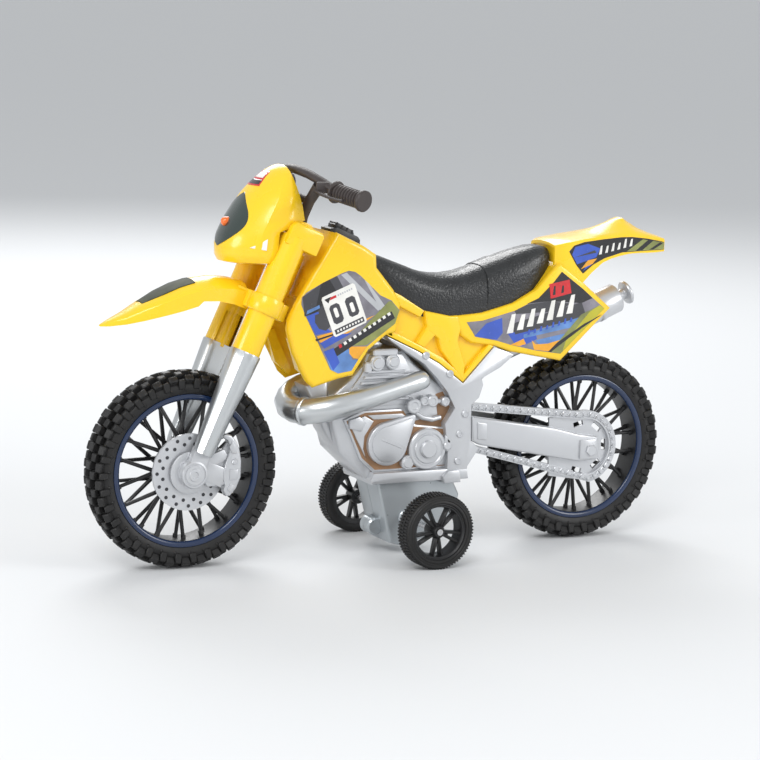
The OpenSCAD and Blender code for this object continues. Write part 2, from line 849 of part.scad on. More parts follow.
// Cross-sections of the front fender: [x, half width, ridge, edge, lower edge]
fender_sections = [
    [139, 1.2, 111.6, 111.2, 110.6], [134, 4.4, 115.2, 113.4, 111.4],
    [126, 8.2, 121, 118, 114.2], [117, 10.6, 126.2, 122.6, 116.6],
    [108, 11.6, 130.2, 126.4, 118.8], [101, 12, 132, 128.2, 120.6],
    [100.6, 12, 132.1, 128.3, 122.6], [92, 11.6, 133, 129.4, 122.6],
    [82, 10.6, 132.4, 129, 120.4], [76, 9.6, 130.6, 127.4, 117.8]
];

function fender_ring(s) = let (x = s[0], w = s[1], t = min(1.4, 0.45 * w),
    e = max(s[3] - t, s[4] + 0.2)) [
    [x, -w, s[4]], [x, -w, s[3]], [x, -0.6 * w, s[3] + 0.78 * (s[2] - s[3])], [x, 0, s[2]],
    [x, 0.6 * w, s[3] + 0.78 * (s[2] - s[3])], [x, w, s[3]], [x, w, s[4]],
    [x, w - t, s[4]], [x, w - t, e - 0.1],
    [x, 0, max(s[2] - t, e)], [x, -w + t, e - 0.1], [x, -w + t, s[4]]
];

module front_fender() {
    color(yellow) skin([for (s = fender_sections) fender_ring(s)]);
}

module fender_decal() {
    color(dark) both_sides() skin([
        for (s = [fender_sections[2], fender_sections[3], fender_sections[4]])
            let (x = s[0], w = 0.58 * s[1], e = s[3] + 0.78 * (s[2] - s[3]), z = s[2], g = 0.12)
            [[x, 0, z + g + 0.25], [x, w, e + g + 0.25], [x, w, e + g], [x, 0, z + g]]
    ]);
}

// Level slices of the headlight mask: [z, front, back, half width]
mask_slices = [
    [139, 78, 66, 10], [141.5, 86, 65, 14], [147, 88.3, 64, 16.6], [154, 87, 61, 18.6],
    [163, 82.6, 57, 19], [172, 76.6, 55.6, 18], [179, 70, 55.4, 15], [183.6, 63, 56, 9]
];

function mask_ring(s, t) = let (front = s[1] - 1.6 * t, half = s[3] - t, back = s[2] - 0.5 * t) [
    for (i = [0 : 12]) let (a = -90 + 15 * i)
        [back + (front - back) * pow(cos(a), 0.8), half * sign(a) * pow(abs(sin(a)), 0.9), s[0]]
];

module lens_area() {
    translate([60, 0, 160]) rotate([0, 90, 0]) linear_extrude(50) scale([12.5, 9.6]) circle(r = 1);
}

module headlight_mask() {
    low = mask_slices[0];
    last = len(mask_slices) - 1;
    inner = [for (i = [1 : last]) let (s = mask_slices[i]) [s[0] - (i == last ? 1.6 : 0), s[1], s[2], s[3]]];
    color(yellow) difference() {
        skin([for (s = mask_slices) mask_ring(s, 0)]);
        skin([for (s = inner) [for (p = mask_ring(s, 1.5)) [p[0] < s[2] ? p[0] - 4 : p[0], p[1], p[2]]]]);
        lens_area();
        fork_frame() {
            both_sides() translate([0, leg_y, 55]) cylinder(r = 6.55, h = 70);
            translate([-15, -25, clamp_w[0] - 0.05]) cube([20.55, 50, clamp_w[1] - clamp_w[0] + 0.1]);
        }
    }
}

module headlight_lens() {
    color("#4a5350") intersection() {
        difference() {
            skin([for (s = mask_slices) mask_ring(s, 0.15)]);
            skin([for (s = mask_slices) mask_ring(s, 1.2)]);
        }
        translate([60, 0, 160]) rotate([0, 90, 0]) linear_extrude(50) difference() {
            scale([12.45, 9.55]) circle(r = 1);
            circle(r = 2.6);
        }
    }
}

module headlight_led() {
    color("#f07020") translate([74, 0, 160]) rotate([0, 90, 0]) {
        cylinder(r = 2.5, h = 9.4);
        translate([0, 0, 9.4]) sphere(r = 2.5);
    }
}

module side_lights() {
    color(white) both_sides() translate([0, 17.4, 0]) slab(0, 0.8)
        polygon([[68, 146], [76, 149], [69.5, 152]]);
}

bar_grip = [43, 27, 173.6];
bar_end = [37, 45, 170.8];

module handlebar() {
    half_bar = [
        [[40, 36, 172.2], 2.2], [[43, 27, 173.6], 2.4], [[46.5, 18, 177], 2.6],
        [[50, 9, 180.4], 2.8]
    ];
    color(dark) {
        tube(concat(half_bar, [[[51, 0, 181.4], 2.9]],
            [for (i = [3 : -1 : 0]) [[half_bar[i][0][0], -half_bar[i][0][1], half_bar[i][0][2]],
                half_bar[i][1]]]));
        both_sides() tube([[[52, 6, 156], 2.6], [[49, 12, 164], 2.6], [[45, 21, 174.6], 2.6]]);
    }
}

module grips() {
    d = unit(bar_end - bar_grip);
    color(dark) both_sides() difference() {
        tube(concat(
            [[bar_grip, 5], [bar_grip + d, 5]],
            [for (i = [0 : 6]) [bar_grip + (1.2 + 2.2 * i) * d, i % 2 == 0 ? 3.6 : 4]],
            [[bar_end - 2.2 * d, 4.6], [bar_end, 4.8]]
        ), 16);
        tube([[bar_grip - d, 2.5], [bar_grip + 9.4 * d, 2.5]]);
    }
}

module brake_levers() {
    color(dark) both_sides() tube([
        [[47.6, 16, 177], 1.2], [[50, 24, 173.8], 1.3], [[48.4, 32, 172.4], 1.1], [[46, 38, 171.4], 1]
    ], 8);
}

// ---- big wheels ----------------------------------------------------------------------

module wheel_rim(x) {
    translate([x, 0, tyre_r]) rotate([90, 0, 0]) difference() {
        union() {
            rotate_extrude() polygon([
                [rim_inner_r, -6], [rim_r + 1.5, -6], [rim_r + 1.5, 6], [rim_inner_r, 6]
            ]);
            translate([0, 0, -8.6]) cylinder(r = 5.4, h = 17.2);
            for (s = [-1, 1]) translate([0, 0, 3.4 * s - 0.9]) cylinder(r = 8.4, h = 1.8);
            for (i = [0 : spoke_pairs - 1]) for (s = [-1, 1])
                rotate(360 * i / spoke_pairs) translate([7.4, 0, s * 3.4]) rotate(s * 22)
                    rotate([0, 90, 0]) translate([0, 0, -1]) cylinder(r = 0.95, h = 28.6, $fn = 8);
        }
        translate([0, 0, -10]) cylinder(r = axle_r + fit, h = 20);
    }
}

tyre_profile = [
    [rim_r, -6.4], [rim_r, 6.4], [37.5, 7.9], [40, 8.3], [41.8, 7.6], [43, 5.4], [43.6, 2.6],
    [43.7, 0], [43.6, -2.6], [43, -5.4], [41.8, -7.6], [40, -8.3], [37.5, -7.9]
];

function tread(r0, r1, fill, turn) = [
    for (i = [0 : knobs - 1]) let (p = 360 / knobs, a = i * p + turn, g = fill * p / 2) each [
        r0 * [cos(a - g - 0.4), sin(a - g - 0.4)], r1 * [cos(a - g), sin(a - g)],
        r1 * [cos(a + g), sin(a + g)], r0 * [cos(a + g + 0.4), sin(a + g + 0.4)]
    ]
];

module big_tyre(x) {
    translate([x, 0, tyre_r]) rotate([90, 0, 0]) {
        difference() {
            rotate_extrude() polygon(tyre_profile);
            translate([0, 0, -6]) cylinder(r = rim_r + 1.5, h = 12);
        }
        for (row = [[-3.2, 3.2, 42.6, tyre_r, 0], [4.2, 8.2, 40.6, 44.2, 0.5], [-8.2, -4.2, 40.6, 44.2, 0.5]])
            translate([0, 0, row[0]]) linear_extrude(row[1] - row[0]) difference() {
                polygon(tread(row[2], row[3], 0.62, row[4] * 360 / knobs));
                circle(r = row[2] - 2);
            }
    }
}

module rim_rings(x) {
    for (s = [-1, 1]) translate([x, 0, tyre_r]) rotate([90, 0, 0])
        translate([0, 0, s > 0 ? 6.42 : -7.62]) difference() {
            cylinder(r = rim_r, h = 1.2);
            translate([0, 0, -1]) cylinder(r = rim_inner_r, h = 4);
        }
}

module front_tyre() {
    color(black) big_tyre(front_x);
}

module front_wheel() {
    color(black) wheel_rim(front_x);
}

module front_rim_rings() {
    color(navy) rim_rings(front_x);
}

module brake_disc() {
    color(silver) translate([front_x, 9.9, tyre_r]) rotate([90, 0, 0]) difference() {
        union() {
            cylinder(r = 17.7, h = 1.2);
            translate([0, 0, -0.1]) cylinder(r = 9.6, h = 1.38);
        }
        translate([0, 0, -3]) cylinder(r = axle_r + 0.3, h = 8);
        for (i = [0 : 15]) for (k = [0, 1])
            rotate(22.5 * i + 11.25 * k) translate([k == 0 ? 15.6 : 13, 0, -2])
                cylinder(r = 0.7, h = 4);
    }
}

module rear_tyre() {
    color(black) big_tyre(rear_x);
}

module rear_wheel() {
    color(black) wheel_rim(rear_x);
}

module rear_rim_rings() {
    color(navy) rim_rings(rear_x);
}

engine_left();
engine_right();
swingarm_left();
swingarm_right();
chain_guard();
exhaust_header();
silencer();
gearbox_left();
gearbox_right();
body_left();
body_right();
head_tube();
seat();
rear_fender();
shroud_decals();
number_plates();
panel_decals();
tail_decals();
rear_axle();
battery_door();
battery_door_screw();
button_cells();
circuit_board();
speaker();
body_screws();
gearbox_screws();
idler_shaft();
button_spring();
sound_button();
fork_crown();
top_clamp();
fork_tube_left();
fork_tube_right();
fork_leg_left();
fork_leg_right();
brake_caliper();
front_fender();
fender_decal();
headlight_mask();
headlight_lens();
headlight_led();
side_lights();
handlebar();
grips();
brake_levers();
steering_stem();
front_axle();
front_tyre();
front_wheel();
front_rim_rings();
brake_disc();
rear_tyre();
rear_wheel();
rear_rim_rings();
drive_axle();
drive_gear();
small_wheels();
small_tyres();
idler_gear();
flywheel();
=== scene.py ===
import math

import bmesh
import bpy
from mathutils import Matrix, Quaternion, Vector


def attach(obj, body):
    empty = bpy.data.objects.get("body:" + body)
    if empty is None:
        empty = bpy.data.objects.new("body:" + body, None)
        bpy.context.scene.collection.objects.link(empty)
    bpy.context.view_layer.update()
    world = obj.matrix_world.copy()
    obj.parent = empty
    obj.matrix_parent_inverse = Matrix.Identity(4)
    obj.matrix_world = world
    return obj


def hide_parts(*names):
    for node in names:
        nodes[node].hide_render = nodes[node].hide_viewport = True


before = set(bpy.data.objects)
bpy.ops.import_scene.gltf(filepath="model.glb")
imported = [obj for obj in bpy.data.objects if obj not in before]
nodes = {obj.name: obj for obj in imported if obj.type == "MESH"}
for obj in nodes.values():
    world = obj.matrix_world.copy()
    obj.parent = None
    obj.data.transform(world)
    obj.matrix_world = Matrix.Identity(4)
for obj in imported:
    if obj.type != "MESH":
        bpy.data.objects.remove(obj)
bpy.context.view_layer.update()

MM = 0.001

# Places that the CAD fixes, in millimetres.
FRONT_X, REAR_X, AXLE_Z = 104.0, -104.0, 45.5
DRIVE_X, DRIVE_Z, DRIVE_Y = -6.3, 17.7, 42.5
RAKE = math.radians(23.6)
LEG_Y = 15.5
FRONT_AXLE, REAR_AXLE = (FRONT_X, 0, AXLE_Z), (REAR_X, 0, AXLE_Z)
ACROSS, FORWARD, UP = (0, 1, 0), (1, 0, 0), (0, 0, 1)

# Camera, in metres.
EYE, AIM, ROLL = Vector((0.565, 1.0944, 0.2793)), Vector((0.0034, 0, 0.0819)), math.radians(1.93)
FOCAL_LENGTH, SENSOR_WIDTH = 125.3, 36


# ---- camera, light and floor ------------------------------------------------

def set_camera():
    lens = bpy.data.cameras.new("camera")
    lens.lens, lens.sensor_width = FOCAL_LENGTH, SENSOR_WIDTH
    eye = bpy.data.objects.new("camera", lens)
    bpy.context.collection.objects.link(eye)
    eye.location = EYE
    eye.rotation_mode = "QUATERNION"
    eye.rotation_quaternion = (AIM - eye.location).to_track_quat("-Z", "Y") @ Quaternion(UP, ROLL)
    bpy.context.scene.camera = eye


def soft_light(name, place, size, watts):
    lamp = bpy.data.lights.new(name, "AREA")
    lamp.shape, lamp.size, lamp.energy = "DISK", size, watts
    light = bpy.data.objects.new(name, lamp)
    light.location = place
    light.rotation_euler = (Vector((0, 0, 0.08)) - Vector(place)).to_track_quat("-Z", "Y").to_euler()
    bpy.context.collection.objects.link(light)


def set_studio():
    world = bpy.data.worlds.new("studio")
    world.use_nodes = True
    sky = world.node_tree.nodes["Background"].inputs
    sky["Color"].default_value = (0.93, 0.95, 0.97, 1)
    sky["Strength"].default_value = 0.72
    bpy.context.scene.world = world
    soft_light("key light", (0.75, 0.95, 1.1), 0.7, 9)
    soft_light("side light", (-0.9, 0.9, 0.5), 0.6, 6)
    soft_light("back light", (-0.3, -1.1, 0.9), 0.8, 9)
    soft_light("front light", (1.3, 0.2, 0.35), 0.5, 4)
    bpy.context.scene.view_settings.view_transform = "Standard"


def set_floor():
    bm = bmesh.new()
    bmesh.ops.create_grid(bm, x_segments=2, y_segments=2, size=30)
    mesh = bpy.data.meshes.new("floor")
    bm.to_mesh(mesh)
    floor = bpy.data.objects.new("floor", mesh)
    bpy.context.collection.objects.link(floor)
    paper = Finish("pale floor", (0.70, 0.71, 0.72), 0.8)
    paper.grain(400, 0.02, 0.0002)
    mesh.materials.append(paper.material)


# ---- finishes ---------------------------------------------------------------

class Finish:
    """A surface built on one shader, with mottling and grain added as nodes."""

    def __init__(self, name, colour, rough, metal=0.0, coat=0.0, specular=0.5):
        self.material = bpy.data.materials.new(name)
        self.material.use_nodes = True
        self.tree = self.material.node_tree
        self.shader = self.tree.nodes["Principled BSDF"]
        self.colour = (*colour, 1)
        for socket, value in (("Base Color", self.colour), ("Roughness", rough), ("Metallic", metal),
                              ("Coat Weight", coat), ("Coat Roughness", 0.08),
                              ("Specular IOR Level", specular)):
            self.shader.inputs[socket].default_value = value
        self.place = self.tree.nodes.new("ShaderNodeTexCoord").outputs["Object"]
        self.rough = rough

    def node(self, kind, **settings):
        n = self.tree.nodes.new("ShaderNode" + kind)
        for key, value in settings.items():
            setattr(n, key, value)
        return n

    def link(self, a, b):
        self.tree.links.new(a, b)

    def noise(self, scale, detail=3.0, stretch=(1, 1, 1)):
        turn = self.node("Mapping")
        turn.inputs["Scale"].default_value = stretch
        self.link(self.place, turn.inputs["Vector"])
        n = self.node("TexNoise")
        n.inputs["Scale"].default_value = scale
        n.inputs["Detail"].default_value = detail
        self.link(turn.outputs["Vector"], n.inputs["Vector"])
        return n.outputs["Fac"]

    def ramp(self, fac, stops):
        r = self.node("ValToRGB")
        while len(r.color_ramp.elements) < len(stops):
            r.color_ramp.elements.new(0.5)
        for e, (at, colour) in zip(r.color_ramp.elements, stops):
            e.position, e.color = at, (*colour, 1)
        self.link(fac, r.inputs["Fac"])
        return r.outputs["Color"]

    def mottle(self, scale, amount, detail=3.0):
        """Colour varies softly round the base colour."""
        c = self.colour[:3]
        low = tuple(v * (1 - amount) for v in c)
        high = tuple(min(1, v * (1 + amount)) for v in c)
        self.link(self.ramp(self.noise(scale, detail), [(0.3, low), (0.7, high)]),
                  self.shader.inputs["Base Color"])
        return self

    def grain(self, scale, strength, depth, stretch=(1, 1, 1), detail=4.0):
        """Fine surface relief, depth in metres, and a matching change of gloss."""
        fac = self.noise(scale, detail, stretch)
        bump = self.node("Bump")
        bump.inputs["Strength"].default_value = min(1, strength * 10)
        bump.inputs["Distance"].default_value = depth
        self.link(fac, bump.inputs["Height"])
        self.link(bump.outputs["Normal"], self.shader.inputs["Normal"])
        spread = self.node("MapRange")
        spread.inputs["To Min"].default_value = max(0.02, self.rough - strength)
        spread.inputs["To Max"].default_value = min(1, self.rough + strength)
        self.link(fac, spread.inputs["Value"])
        self.link(spread.outputs["Result"], self.shader.inputs["Roughness"])
        return self


# Colour of each printing ink, and how blotchy it is.
INKS = {
    "grey": ((0.20, 0.19, 0.22), 0.30),
    "black": ((0.012, 0.012, 0.014), 0.10),
    "shade": ((0.045, 0.045, 0.052), 0.10),
    "pale": ((0.45, 0.46, 0.48), 0.10),
    "blue": ((0.035, 0.09, 0.46), 0.10),
    "sky": ((0.10, 0.22, 0.50), 0.30),
    "gold": ((0.80, 0.36, 0.02), 0.10),
    "olive": ((0.22, 0.24, 0.07), 0.30),
    "lime": ((0.46, 0.42, 0.02), 0.10),
    "red": ((0.55, 0.015, 0.02), 0.10),
    "white": ((0.78, 0.77, 0.73), 0.10),
}


def make_finishes():
    made = {}

    def add(key, finish):
        made[key] = finish.material

    add("yellow", Finish("warm yellow moulding", (0.93, 0.59, 0.012), 0.27, coat=0.3)
        .mottle(9, 0.035).grain(60, 0.05, 0.00004))
    add("silver", Finish("silver moulding", (0.56, 0.57, 0.59), 0.34, metal=0.6, coat=0.15)
        .mottle(30, 0.05).grain(900, 0.06, 0.00003))
    add("bright", Finish("bright plated moulding", (0.60, 0.62, 0.63), 0.30, metal=0.9)
        .mottle(12, 0.03).grain(30, 0.03, 0.00001))
    add("steel", Finish("steel rod", (0.55, 0.55, 0.56), 0.28, metal=1.0)
        .mottle(200, 0.08).grain(500, 0.08, 0.00002, (1, 1, 8)))
    add("black", Finish("black moulding", (0.012, 0.012, 0.013), 0.4)
        .mottle(60, 0.2).grain(700, 0.08, 0.00004))
    add("seat", Finish("grained black seat", (0.010, 0.011, 0.012), 0.42, coat=0.2)
        .mottle(200, 0.3).grain(950, 0.3, 0.00035, detail=1.0))
    add("grip", Finish("dark brown-grey moulding", (0.045, 0.035, 0.033), 0.5)
        .mottle(60, 0.15).grain(500, 0.08, 0.00004))
    add("navy", Finish("navy gloss", (0.008, 0.022, 0.068), 0.25, coat=0.3)
        .mottle(60, 0.15).grain(300, 0.04, 0.00002))
    add("tyre", Finish("tyre black", (0.010, 0.0095, 0.0095), 0.5, specular=0.4)
        .mottle(90, 0.3).grain(600, 0.12, 0.00008))
    add("lens", Finish("smoked lens", (0.03, 0.045, 0.040), 0.12, coat=0.5).mottle(40, 0.2))
    add("orange", Finish("orange light", (0.90, 0.16, 0.01), 0.2, coat=0.5).mottle(200, 0.1))
    add("white", Finish("white moulding", (0.80, 0.80, 0.78),
                        0.35).mottle(60, 0.04).grain(500, 0.05, 0.00003))
    # Dark print on the films, also used as painted shade in the brake disc's holes.
    add("print_dark_and_hole_shade", Finish("dark print film and painted hole shade", (0.02, 0.02, 0.025), 0.25, coat=0.3).mottle(60, 0.2))
    add("print_matt", Finish("olive-black print", (0.035, 0.04, 0.02), 0.62, specular=0.25).mottle(160, 0.5))
    add("print_light", Finish("light print film", (0.8, 0.8, 0.78), 0.25, coat=0.3).mottle(60, 0.05))
    # Painted shade: a brown that darkens the recesses round the engine covers.
    add("painted_recess_shade", Finish("brown painted shade in the engine recesses", (0.30, 0.17, 0.09), 0.45, metal=0.4).mottle(80, 0.2))
    add("leg_silver", Finish("satin silver moulding", (0.42, 0.45, 0.47), 0.30, metal=0.55)
        .mottle(20, 0.05).grain(300, 0.06, 0.00003))
    for key, (colour, blotches) in INKS.items():
        add("ink_" + key, Finish("printed " + key, colour, 0.26, coat=0.3)
            .mottle(120, blotches).grain(400, 0.04, 0.00001))
    add("board", Finish("board green", (0.02, 0.12, 0.04), 0.4).mottle(90, 0.2))
    return made


NODE_FINISH = {
    "silver": "engine_left engine_right swingarm_left swingarm_right chain_guard silencer gearbox_left "
              "gearbox_right battery_door brake_caliper brake_disc",
    "bright": "exhaust_header fork_leg_left fork_leg_right",
    "steel": "rear_axle battery_door_screw button_cells body_screws gearbox_screws idler_shaft "
             "button_spring steering_stem front_axle drive_axle flywheel",
    "yellow": "body_left body_right head_tube rear_fender fork_crown top_clamp fork_tube_left "
              "fork_tube_right front_fender headlight_mask",
    "black": "sound_button front_wheel rear_wheel small_wheels speaker",
    "seat": "seat",
    "grip": "handlebar grips brake_levers",
    "navy": "front_rim_rings rear_rim_rings",
    "tyre": "front_tyre rear_tyre small_tyres",
    "lens": "headlight_lens",
    "orange": "headlight_led",
    "white": "side_lights drive_gear idler_gear",
    "print_dark_and_hole_shade": "shroud_decals panel_decals tail_decals fender_decal",
    "print_light": "number_plates",
    "board": "circuit_board",
}


def dress_nodes(finishes):
    for key, names in NODE_FINISH.items():
        for name in names.split():
            mesh = nodes[name].data
            mesh.materials.clear()
            mesh.materials.append(finishes[key])


# ---- building pieces --------------------------------------------------------

class Shape:
    """A piece in the making, in millimetres."""

    def __init__(self):
        self.bm = bmesh.new()

    def _new(self, before):
        return [f for f in self.bm.faces if f not in before]

    def paint(self, faces, number):
        for f in faces:
            f.material_index = number

    def slab(self, outline, y0, y1, edge=0.0, steps=2, paint=0, both=False):
        """A side-view outline from y0 to y1, its far edge rounded by edge."""
        bm, before = self.bm, set(self.bm.faces)
        near = [bm.verts.new((x, y0, z)) for x, z in outline]
        face = bm.faces.new(near)
        grown = bmesh.ops.extrude_face_region(bm, geom=[face])["geom"]
        far = [g for g in grown if isinstance(g, bmesh.types.BMVert)]
        bmesh.ops.translate(bm, verts=far, vec=(0, y1 - y0, 0))
        self._cap(before)
        if edge:
            wanted = set(far) | (set(near) if both else set())
            rims = [e for e in {e for v in wanted for e in v.link_edges}
                    if (e.verts[0] in far and e.verts[1] in far)
                    or (both and e.verts[0] in near and e.verts[1] in near)]
            self.round(rims, edge, steps)
        made = self._new(before)
        self.paint(made, paint)
        return made

    def _cap(self, before):
        made = self._new(before)
        open_edges = [e for e in {e for f in made for e in f.edges} if len(e.link_faces) == 1]
        if open_edges:
            bmesh.ops.holes_fill(self.bm, edges=open_edges, sides=0)
        bmesh.ops.recalc_face_normals(self.bm, faces=self._new(before))

    def round(self, edges, width, steps=2):
        bmesh.ops.bevel(self.bm, geom=edges, offset=width, offset_type="OFFSET", segments=steps,
                        profile=0.5, affect="EDGES", material=-1, clamp_overlap=True)

    def soften(self, faces, width, angle=40):
        """Rounds the edges of faces that turn by more than angle."""
        limit = math.radians(angle)
        self.round([e for e in {e for f in faces for e in f.edges}
                    if len(e.link_faces) == 2 and e.calc_face_angle(0) > limit], width)

    def turned(self, profile, centre, axis=ACROSS, steps=48, paint=0):
        """A profile of (radius, distance along the axis), turned round an axis through centre."""
        bm, before = self.bm, set(self.bm.faces)
        axis, centre = Vector(axis).normalized(), Vector(centre)
        out = axis.orthogonal().normalized()
        verts = [bm.verts.new(centre + out * r + axis * t) for r, t in profile]
        edges = [bm.edges.new(pair) for pair in zip(verts, verts[1:])]
        if profile[0][0] > 0.001 and profile[-1][0] > 0.001:
            edges.append(bm.edges.new((verts[-1], verts[0])))
        bmesh.ops.spin(bm, geom=verts + edges, cent=centre, axis=axis, angle=2 * math.pi,
                       steps=steps, use_merge=True, use_duplicate=False)
        made = self._new(before)
        bmesh.ops.remove_doubles(bm, verts=list({v for f in made for v in f.verts}), dist=0.002)
        made = self._new(before)
        bmesh.ops.recalc_face_normals(bm, faces=made)
        self.paint(made, paint)
        return made

    def rod(self, a, b, r0, r1):
        """A tapered eight-sided rod from a to b."""
        before = set(self.bm.faces)
        a, b = Vector(a), Vector(b)
        place = Matrix.Translation((a + b) / 2) @ (b - a).to_track_quat("Z", "Y").to_matrix().to_4x4()
        bmesh.ops.create_cone(self.bm, cap_ends=True, segments=8, radius1=r0, radius2=r1,
                              depth=(b - a).length, matrix=place)
        return self._new(before)

    def block(self, centre, size, turn=None, edge=0.0, steps=1, paint=0):
        before = set(self.bm.faces)
        place = Matrix.Translation(centre) @ (turn or Matrix()) @ Matrix.Diagonal((*size, 1))
        bmesh.ops.create_cube(self.bm, size=1, matrix=place)
        if edge:
            self.round(list({e for f in self._new(before) for e in f.edges}), edge, steps)
        made = self._new(before)
        self.paint(made, paint)
        return made

    def sweep(self, path, steps, flat=(1, 1)):
        """Rings along a path of (point, radius), bridged one to the next and capped."""
        bm, before = self.bm, set(self.bm.faces)
        points = [Vector(p) for p, _ in path]
        turn, last, rings = None, None, []
        for i, (p, (_, r)) in enumerate(zip(points, path)):
            way = (points[min(i + 1, len(points) - 1)] - points[max(i - 1, 0)]).normalized()
            turn = way.to_track_quat("Z", "Y") if last is None else last.rotation_difference(way) @ turn
            last = way
            place = Matrix.Translation(p) @ turn.to_matrix().to_4x4() @ Matrix.Diagonal((*flat, 1, 1))
            rings.append(bmesh.ops.create_circle(bm, cap_ends=False, segments=steps, radius=r,
                                                 matrix=place)["verts"])
        loops = [[e for e in {e for v in ring for e in v.link_edges}] for ring in rings]
        for one, two in zip(loops, loops[1:]):
            bmesh.ops.bridge_loops(bm, edges=one + two)
        bm.faces.new(rings[0])
        bm.faces.new(rings[-1])
        bmesh.ops.recalc_face_normals(bm, faces=self._new(before))

    def loft(self, rings, paint=0):
        """Bridges closed rings of points, one to the next, and caps both ends."""
        bm, before = self.bm, set(self.bm.faces)
        loops = []
        for ring in rings:
            verts = [bm.verts.new(p) for p in ring]
            loops.append((verts, [bm.edges.new(pair) for pair in zip(verts, verts[1:] + verts[:1])]))
        for one, two in zip(loops, loops[1:]):
            bmesh.ops.bridge_loops(bm, edges=one[1] + two[1])
        bm.faces.new(loops[0][0])
        bm.faces.new(loops[-1][0])
        made = self._new(before)
        bmesh.ops.recalc_face_normals(bm, faces=made)
        self.paint(made, paint)

    def around(self, faces, centre, axis, count):
        """Copies faces to count places evenly round an axis."""
        edges, verts = {e for f in faces for e in f.edges}, {v for f in faces for v in f.verts}
        geom = list(faces) + list(edges) + list(verts)
        bmesh.ops.spin(self.bm, geom=geom, cent=centre, axis=axis, steps=count - 1, use_duplicate=True,
                       angle=2 * math.pi * (count - 1) / count)

    def move(self, matrix, faces=None):
        verts = list({v for f in (faces or self.bm.faces) for v in f.verts})
        bmesh.ops.transform(self.bm, matrix=matrix, verts=verts)

    def finish(self, name, body, slot, finishes, replaces=(), smooth=38):
        """Makes the shape a piece on a body, in metres; edges turning more than smooth stay sharp."""
        bmesh.ops.transform(self.bm, matrix=Matrix.Scale(MM, 4), verts=self.bm.verts)
        mesh = bpy.data.meshes.new(name)
        self.bm.to_mesh(mesh)
        self.bm.free()
        for key in finishes.split():
            mesh.materials.append(FINISHES[key])
        mesh.shade_smooth()
        mesh.set_sharp_from_angle(angle=math.radians(smooth))
        piece = bpy.data.objects.new(name, mesh)
        bpy.context.collection.objects.link(piece)
        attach(piece, body)
        if replaces:
            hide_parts(*replaces)
        return piece


def fork_frame():
    """From the fork's own frame, with its origin on the front axle, to the whole object's."""
    return Matrix.Translation((FRONT_X, 0, AXLE_Z)) @ Matrix.Rotation(-RAKE, 4, "Y")


def mirrored(build, name, body, slot, finishes, replaces, smooth=38):
    """A piece on each side: build draws it on the rider's left, and the right one is its mirror image."""
    for side, label in ((1, "left"), (-1, "right")):
        shape = Shape()
        build(shape, side)
        if side < 0:
            shape.move(Matrix.Diagonal((1, -1, 1, 1)))
            bmesh.ops.reverse_faces(shape.bm, faces=shape.bm.faces)
        shape.finish(name + "_" + label, body, slot, finishes, replaces.get(side, ()), smooth)


def on_side(profile, side):
    """A turned profile carried to one side of the middle plane."""
    return [(r, y * side) for r, y in profile]


def at_side(path, side):
    """A swept path carried to one side of the middle plane."""
    return [((x, y * side, z), r) for (x, y, z), r in path]


# ---- big wheels -------------------------------------------------------------

KNOBS, SPOKES, SMALL_SPOKES, RIBS = 34, 9, 5, 72


def build_tyre(name, x, body):
    shape = Shape()
    centre = (x, 0, AXLE_Z)
    half = [(42.4, 2.6), (41.9, 5.2), (40.7, 7.2), (39.2, 8.2), (37.4, 8.2), (35.6, 7.4), (35.2, 6.3)]
    shape.turned([(r, -y) for r, y in reversed(half)] + [(42.6, 0)] + half, centre, steps=3 * KNOBS)

    def row(y, r, size, tilt, phase):
        """One row of knobs: across, radius, (round, across, out), lean to the side, place in the pitch."""
        turn = Matrix.Rotation(phase * 2 * math.pi / KNOBS, 4, "Y")
        place = turn @ Matrix.Translation((0, y, r)) @ Matrix.Rotation(-math.radians(tilt), 4, "X")
        knob = shape.block((0, 0, 0), size, edge=0.45)
        shape.move(Matrix.Translation(centre) @ place, knob)
        shape.around(knob, centre, ACROSS, KNOBS)

    row(0, 43.6, (4.1, 4.6, 3.7), 0, 0)
    for side in (-1, 1):
        row(3.9 * side, 43.3, (3.7, 3.3, 3.6), 13 * side, 0.5)
        row(7.0 * side, 41.9, (4.2, 3.2, 4.2), 40 * side, 0)
        row(8.3 * side, 40.3, (3.2, 1.5, 4.6), 5 * side, 0.5)
        row(8.35 * side, 37.9, (1.2, 0.9, 1.8), 4 * side, 0.25)
    shape.finish(name, body, "black_tyre", "tyre", [body.replace("wheel", "tyre")])


def build_wheel(name, x, body):
    shape = Shape()
    centre = Vector((x, 0, AXLE_Z))
    shape.turned([(32.6, -6.6), (33.3, -6.6), (33.6, -4.5), (35.4, -4.5), (35.4, 4.5), (33.6, 4.5),
                  (33.3, 6.6), (32.6, 6.6), (32.3, 2.4), (32.3, -2.4)], centre, steps=96)
    hub = [(5.6, 2.6), (8.8, 3.6), (8.6, 5.2), (5.4, 5.6), (5.2, 8.0), (4.2, 8.6), (1.56, 8.6)]
    shape.turned([(r, -y) for r, y in reversed(hub)] + [(5.0, 0)] + hub, centre, steps=40)
    for side in (-1, 1):
        for lean in (-1, 1):
            from_hub = Matrix.Rotation(math.radians(10 * side - 20 * lean), 3, "Y")
            to_rim = Matrix.Rotation(math.radians(10 * side + 12 * lean), 3, "Y")
            root = from_hub @ Vector((0, 4.4 * side + 0.7 * lean, 7.4))
            tip = to_rim @ Vector((0, 2.2 * side, 33.0))
            spoke = shape.rod(centre + root, centre + tip, 1.05, 0.85)
            shape.around(spoke, centre, ACROSS, SPOKES)
            nut = shape.rod(centre + tip * 0.93 + Vector((0, 0.1 * side, 0)), centre + tip, 1.15, 1.3)
            shape.around(nut, centre, ACROSS, SPOKES)
    shape.finish(name, body, "black_plastic", "black", [body])


